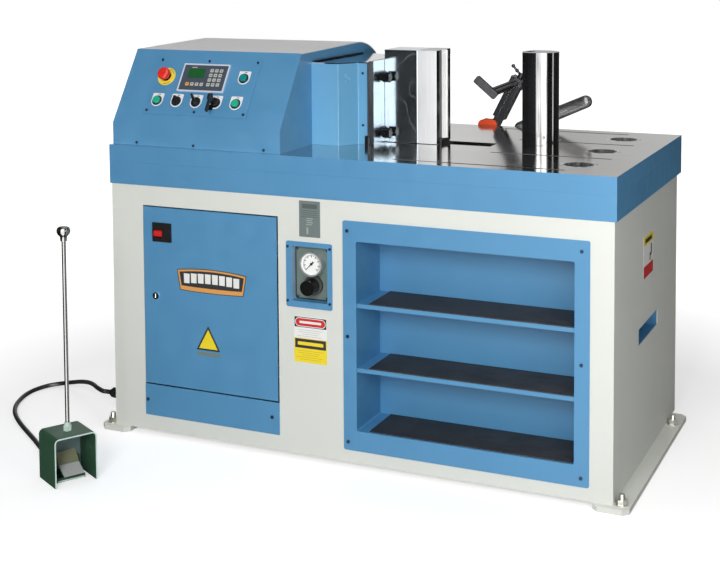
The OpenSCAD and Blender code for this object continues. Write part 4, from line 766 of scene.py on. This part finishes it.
turned("regulatorRing", ringPlane, regulatorRing["profile"], "chrome")
print("gauge panel trimmed")


# plain colour fields on cabinet and door, each with its
# width, height, corner radius, points a corner, middle's v, heights w0 and w1, finish
def colourFields(plane, u, fields, body="machine"):
    for name, (w, h, r, n, v, w0, w1, finish) in fields.items():
        slab(name, plane, roundOutline(w, h, r, n, (u, v)), w0, w1, finish, body)


# lines of a text field: longest, step shorter, step aside, first v, pitch, number, heights w0 and w1, finish
frontLabel = {
    "u": -104.5, "line": (1.6, 0.5, 3),
    "lines": {
        "frontLabelLines": (80, 14, 3, 384, 6, 4, 0.35, 0.42, "faintGrey"),
        "frontLabelNotes": (84, 16, 4, 323, 6.2, 5, 0.36, 0.43, "faintOlive")},
    "fields": {
        "frontLabel": (105, 67, 2, 4, 390.5, 0.0, 0.35, "labelWhite"),
        "frontLabelBase": (105, 71, 2, 4, 324.5, 0.0, 0.36, "labelYellow"),
        "frontLabelTop": (102, 30, 1, 3, 407, 0.35, 0.5, "ink"),
        "frontLabelRim": (98, 26, 12.9, 10, 407, 0.5, 0.56, "labelWhite"),
        "frontLabelOval": (94, 22, 10.9, 10, 407, 0.56, 0.62, "labelRed"),
        "frontLabelBar": (70, 7, 2, 3, 407, 0.62, 0.68, "labelWhite"),
        "frontLabelBand": (99, 27, 1, 3, 344.5, 0.36, 0.5, "ink"),
        "frontLabelBandBar": (82, 10, 2, 3, 344.5, 0.5, 0.56, "labelYellow")}}
frontPlane, frontU = facingFront(at(0, -421, 0)), frontLabel["u"]
colourFields(frontPlane, frontU, frontLabel["fields"])
for name, (longest, less, aside, v, pitch, count, w0, w1, finish) in frontLabel["lines"].items():
    spots = [(frontU - aside * (k % 2), v - pitch * k) for k in range(count)]
    bars = [roundOutline(longest - less * (k % 3), *frontLabel["line"], spot) for k, spot in enumerate(spots)]
    slabs(name, frontPlane, bars, w0, w1, finish)
sideLabel = {
    "u": -15.5, "figure": [(13, 30, 4, 22, 612), (9, 26, 4, 6, 590), (22, 7, 3, 14, 596)],
    "fields": {
        "sideLabel": (127, 125, 2, 4, 599.5, 0.0, 0.35, "labelWhite"),
        "sideLabelTop": (121, 26, 1, 3, 646, 0.35, 0.5, "labelYellow"),
        "sideLabelLow": (121, 34, 1, 3, 557, 0.35, 0.5, "labelRed"),
        "sideLabelMark": (84, 12, 2, 3, 645, 0.5, 0.6, "ink")}}
sidePlane = facing(at(780, 0, 0), (0, 1, 0), (0, 0, 1))
colourFields(sidePlane, sideLabel["u"], sideLabel["fields"])
figure = [roundOutline(*shape, 3, (u, v)) for *shape, u, v in sideLabel["figure"]]
slabs("sideLabelFigure", sidePlane, figure, 0.35, 0.45, "ink")


# arched plaque: wider at its top, top edge bulging up by rise and bottom edge down by sag
def archOutline(top, bottom, high, low, rise, sag, centre, n=24):
    u = np.linspace(-1, 1, n)
    upper = np.stack([u[::-1] * top, high + rise * (1 - u[::-1] ** 2)], 1)
    lower = np.stack([u * bottom, low - sag * (1 - u ** 2)], 1)
    return np.vstack([upper, lower]) + np.array(centre)


doorPlane = facingFront(at(0, -422, 0))
# plaque layer: half widths at top and bottom, upper and lower edge, bulge and sag, heights w0 and w1, finish
plaque = {
    "centre": (-431.5, 496.5), "bars": 8, "spread": 85, "arch": 5.5, "bar": (10, 9.4, 15, -14, 0, 0),
    "layers": {
        "doorPlaqueEdge": (119, 109, 27, -35, 8, 3, 0.0, 0.35, "ink"),
        "doorPlaque": (116.5, 106.5, 25, -33, 8, 3, 0.35, 0.45, "tan"),
        "doorPlaqueField": (110.5, 103.5, 20, -21, 8, 2, 0.45, 0.55, "ink")}}
for name, (*shape, w0, w1, finish) in plaque["layers"].items():
    slab(name, doorPlane, archOutline(*shape, plaque["centre"]), w0, w1, finish, "control_door")
plaqueU, plaqueV = plaque["centre"]
bars = [archOutline(*plaque["bar"], (plaqueU + u, plaqueV + plaque["arch"] * (1 - (u / 100) ** 2)))
        for u in np.linspace(-plaque["spread"], plaque["spread"], plaque["bars"])]
slabs("doorPlaqueBars", doorPlane, bars, 0.55, 0.62, "labelWhite", "control_door")
doorMark = {"corners": [(-486, 285), (-404, 285), (-445, 360)], "field": 0.78,
            "strip": (78, 11, 1, 3, (-444, 274))}
triangle = np.array(doorMark["corners"], float)
middle = triangle.mean(0)
slab("doorTriangle", doorPlane, triangle, 0.0, 0.35, "ink", "control_door")
field = middle + (triangle - middle) * doorMark["field"]
slab("doorTriangleField", doorPlane, field, 0.35, 0.5, "labelYellow", "control_door")
slab("doorStrip", doorPlane, roundOutline(*doorMark["strip"]), 0.0, 0.35, "greyGreen", "control_door")
print("colour fields placed")

# ram wipers, in millimetres: a strip along each edge of the ram and a foot under it; then a dark strip along
# the hood's side, painted shadow in the gap between hood and ram roof
wiper = {"strip": (8, 6, 1.5, 3), "u": -42, "from": 892, "to": 1136,
         "foot": (15, 14, 1.5, 3), "footU": -45.5, "footOut": 1.5, "footFrom": 889.2, "footTo": 917,
         "edges": {"wiperFront": (-138, -1), "wiperRear": (138, 1)}}
ground = facingUp(at(0, 0, 0))
for name, (v, outward) in wiper["edges"].items():
    strip = roundOutline(*wiper["strip"], (wiper["u"], v))
    rounded(slab(name, ground, strip, wiper["from"], wiper["to"], "rubber"), 0.4, 2)
    foot = roundOutline(*wiper["foot"], (wiper["footU"], v + outward * wiper["footOut"]))
    rounded(slab(name + "Foot", ground, foot, wiper["footFrom"], wiper["footTo"], "knobBlack"), 0.6, 2)
# black strip on the ram roof along the hood's side: painted shadow of the gap between hood and roof
roofGapShade = {"wide": 5.6, "long": 368, "step": 3.2, "high": 3.6}
gapShadeU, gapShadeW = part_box("hood_shell")[1].x * 1000 + roofGapShade["step"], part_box("ram_roof")[1].z * 1000
slab("roofGapShade", ground, roundOutline(roofGapShade["wide"], roofGapShade["long"], 1.5, 3, (gapShadeU, 0)),
     gapShadeW, gapShadeW + roofGapShade["high"], "knobBlack")
hoodScrew = {"row": (-700, -500, -262), "y": -401.5, "z": 897,
             "profile": [(0, 0), (4.5, 0), (4.2, 1.8), (0, 2.6)]}
for k, u in enumerate(hoodScrew["row"]):
    plane = facingFront(at(u, hoodScrew["y"], hoodScrew["z"]))
    turned("hoodScrew%d" % k, plane, hoodScrew["profile"], "screwBlue", n=16)

# pale front edge and screw of the foot switch's base: the edge is found from the base's own points
footTrim = {"low": 6, "near": 1.0, "short": 4, "high": 5.0, "v": 3.0, "sunk": -0.2, "proud": 0.6,
            "screwReach": 10, "screwHeight": 12, "screw": [(0, 0), (5, 0), (4.6, 2.6), (2.6, 4.4), (0, 5)]}


def footPoint(reach, height):  # a point in front of the foot switch's middle
    return at(footAt[0] + reach * side, footAt[1] - reach * half, height)


baseSpots = (np.array([v.co[:] for v in nodes["foot_base"].data.vertices]) - np.array(at(*footAt, 0))) * 1000
reach = baseSpots[:, 0] * side - baseSpots[:, 1] * half
along = baseSpots[:, 0] * half + baseSpots[:, 1] * side
low = baseSpots[:, 2] < footTrim["low"]
front = reach[low].max()
edge = along[low & (reach > front - footTrim["near"])]
first, last = edge.min(), edge.max()
edgeMid = ((last + first) / 2, footTrim["v"])
edgeShape = roundOutline(last - first - footTrim["short"], footTrim["high"], 1.2, 3, edgeMid)
slab("footBaseEdge", facing(footPoint(front, 0), (half, side, 0), (0, 0, 1)), edgeShape,
     footTrim["sunk"], footTrim["proud"], "footEdge")
screwPlane = facingUp(footPoint(footTrim["screwReach"], footTrim["screwHeight"]))
turned("footScrew", screwPlane, footTrim["screw"], "footEdge", n=24)
print("wipers, seal and foot switch trim fitted")

# floor, lamps and world
studio = {
    "floor": (222, 222, 222), "floorHalf": 14.0, "floorLines": 9, "floorDrop": 0.0005,
    "glow": (1.3, 2.6, 0.50, 1.0),  # nearer and farther distance from the middle, the floor's glow at each
    # the surroundings' soft light: direction it fades towards, the two dot products, the strength at each
    "soft": ((0.85, 0.3, -0.3), -0.9, 0.8, 0.36 * 1.15, 0.36 * 0.12),
    # the surroundings seen in metal and paint: degrees from the front towards the right, brightness
    "ring": [(-180, 0.65), (-168, 0.60), (-164, 0.50), (-160, 0.74), (-142, 0.74), (-136, 0.10), (-90, 0.04),
             (-30, 0.02), (-17, 0.03), (-13, 0.15), (-8, 4.2), (50, 4.2), (58, 0.04), (94, 0.04), (96, 2.6),
             (102, 2.6), (104, 0.04), (170, 0.05)]}
grid = np.linspace(-studio["floorHalf"], studio["floorHalf"], studio["floorLines"])
gx, gy = np.meshgrid(grid, grid, indexing="ij")
n = len(grid)
i, k = np.meshgrid(np.arange(n - 1), np.arange(n - 1), indexing="ij")
floorFaces = np.stack([i * n + k, (i + 1) * n + k, (i + 1) * n + k + 1, i * n + k + 1], -1).reshape(-1, 4)
floorSpots = np.stack([gx, gy, 0 * gx - studio["floorDrop"]], -1).reshape(-1, 3)
floorMesh = bpy.data.meshes.new("floor")
floorMesh.from_pydata(floorSpots.tolist(), [], floorFaces.tolist())
floor = bpy.data.objects.new("floor", floorMesh)
bpy.context.scene.collection.objects.link(floor)
floorFinish = bpy.data.materials.new("paleFloor")
floorFinish.use_nodes = True
tree = floorFinish.node_tree
tree.nodes.clear()
output = tree.nodes.new("ShaderNodeOutputMaterial")
diffuse = tree.nodes.new("ShaderNodeBsdfDiffuse")
glow = tree.nodes.new("ShaderNodeEmission")
adding = tree.nodes.new("ShaderNodeAddShader")
lightPath = tree.nodes.new("ShaderNodeLightPath")
diffuse.inputs["Color"].default_value = tone(*studio["floor"])
spread = tree.nodes.new("ShaderNodeVectorMath")
spread.operation = "LENGTH"
tree.links.new(coordinate(tree), spread.inputs[0])
farther = remap(tree, spread.outputs["Value"], *studio["glow"])
strength = arithmetic(tree, "MULTIPLY", lightPath.outputs["Is Camera Ray"], farther)
tree.links.new(strength, glow.inputs["Strength"])
tree.links.new(diffuse.outputs[0], adding.inputs[0])
tree.links.new(glow.outputs[0], adding.inputs[1])
unseen = tree.nodes.new("ShaderNodeBsdfTransparent")  # metal and paint mirror the surroundings, not the floor
floorShown = mixShaders(tree, lightPath.outputs["Is Glossy Ray"], adding.outputs[0], unseen.outputs[0])
tree.links.new(floorShown, output.inputs["Surface"])
floorMesh.materials.append(floorFinish)

# lamp: place, the point it looks at, width and height in metres, watts
lamps = {
    "keyLamp": ((0.6, -4.2, 2.3), (0.1, 0, 0.6), (1.3, 1.2), 97.0),
    "sideLamp": ((1.5, -1.3, 1.0), (0.78, -0.2, 0.7), (0.9, 0.9), 8.2),
    "fillLamp": ((-3.6, -2.8, 2.0), (0, 0, 0.6), (2.4, 2.4), 2.0),
    "topLamp": ((0.2, 0.0, 3.8), (0, 0.1, 0.6), (2.8, 2.4), 15.0),
}
for name, (place, target, size, power) in lamps.items():
    data = bpy.data.lights.new(name, "AREA")
    data.shape, data.size, data.size_y, data.energy = "RECTANGLE", size[0], size[1], power
    lamp = bpy.data.objects.new(name, data)
    bpy.context.scene.collection.objects.link(lamp)
    place, target = Vector(place), Vector(target)
    facingTarget = (target - place).to_track_quat("-Z", "Y").to_matrix().to_4x4()
    lamp.matrix_world = Matrix.Translation(place) @ facingTarget

world = bpy.data.worlds.new("studioWorld")
bpy.context.scene.world = world
world.use_nodes = True
tree = world.node_tree
tree.nodes.clear()
output = tree.nodes.new("ShaderNodeOutputWorld")
direction = tree.nodes.new("ShaderNodeTexCoord").outputs["Generated"]
rays = tree.nodes.new("ShaderNodeLightPath")


def background(strength):
    node = tree.nodes.new("ShaderNodeBackground")
    node.inputs["Color"].default_value = (1, 1, 1, 1)
    feed(tree, node.inputs["Strength"], strength)
    return node.outputs[0]


def toward(vector, a0, a1, b0, b1):  # brightness by the angle between the ray and a direction
    dot = tree.nodes.new("ShaderNodeVectorMath")
    dot.operation = "DOT_PRODUCT"
    tree.links.new(direction, dot.inputs[0])
    dot.inputs[1].default_value = vector
    return remap(tree, dot.outputs["Value"], a0, a1, b0, b1)


def ringBrightness(stops):  # brightness by the ray's bearing: the angle of (x, -y) from the front
    parts = tree.nodes.new("ShaderNodeSeparateXYZ")
    tree.links.new(direction, parts.inputs[0])
    front = arithmetic(tree, "MULTIPLY", parts.outputs["Y"], -1.0)
    bearing = arithmetic(tree, "ARCTAN2", parts.outputs["X"], front)
    ramp = tree.nodes.new("ShaderNodeValToRGB")
    steps = ramp.color_ramp.elements
    while len(steps) < len(stops):
        steps.new(0.5)
    for step, (degrees, bright) in zip(steps, stops):
        step.position = (degrees + 180) / 360
    for step, (degrees, bright) in zip(steps, stops):
        step.color = (bright, bright, bright, 1)
    tree.links.new(remap(tree, bearing, -math.pi, math.pi, 0.0, 1.0), ramp.inputs["Fac"])
    return ramp.outputs["Color"]


soft = background(toward(*studio["soft"]))
shine = background(ringBrightness(studio["ring"]))
mixed = mixShaders(tree, rays.outputs["Is Glossy Ray"], soft, shine)
seen = mixShaders(tree, rays.outputs["Is Camera Ray"], mixed, background(1.0))
tree.links.new(seen, output.inputs["Surface"])
bpy.context.scene.view_settings.view_transform = "Standard"
print("studio lit")
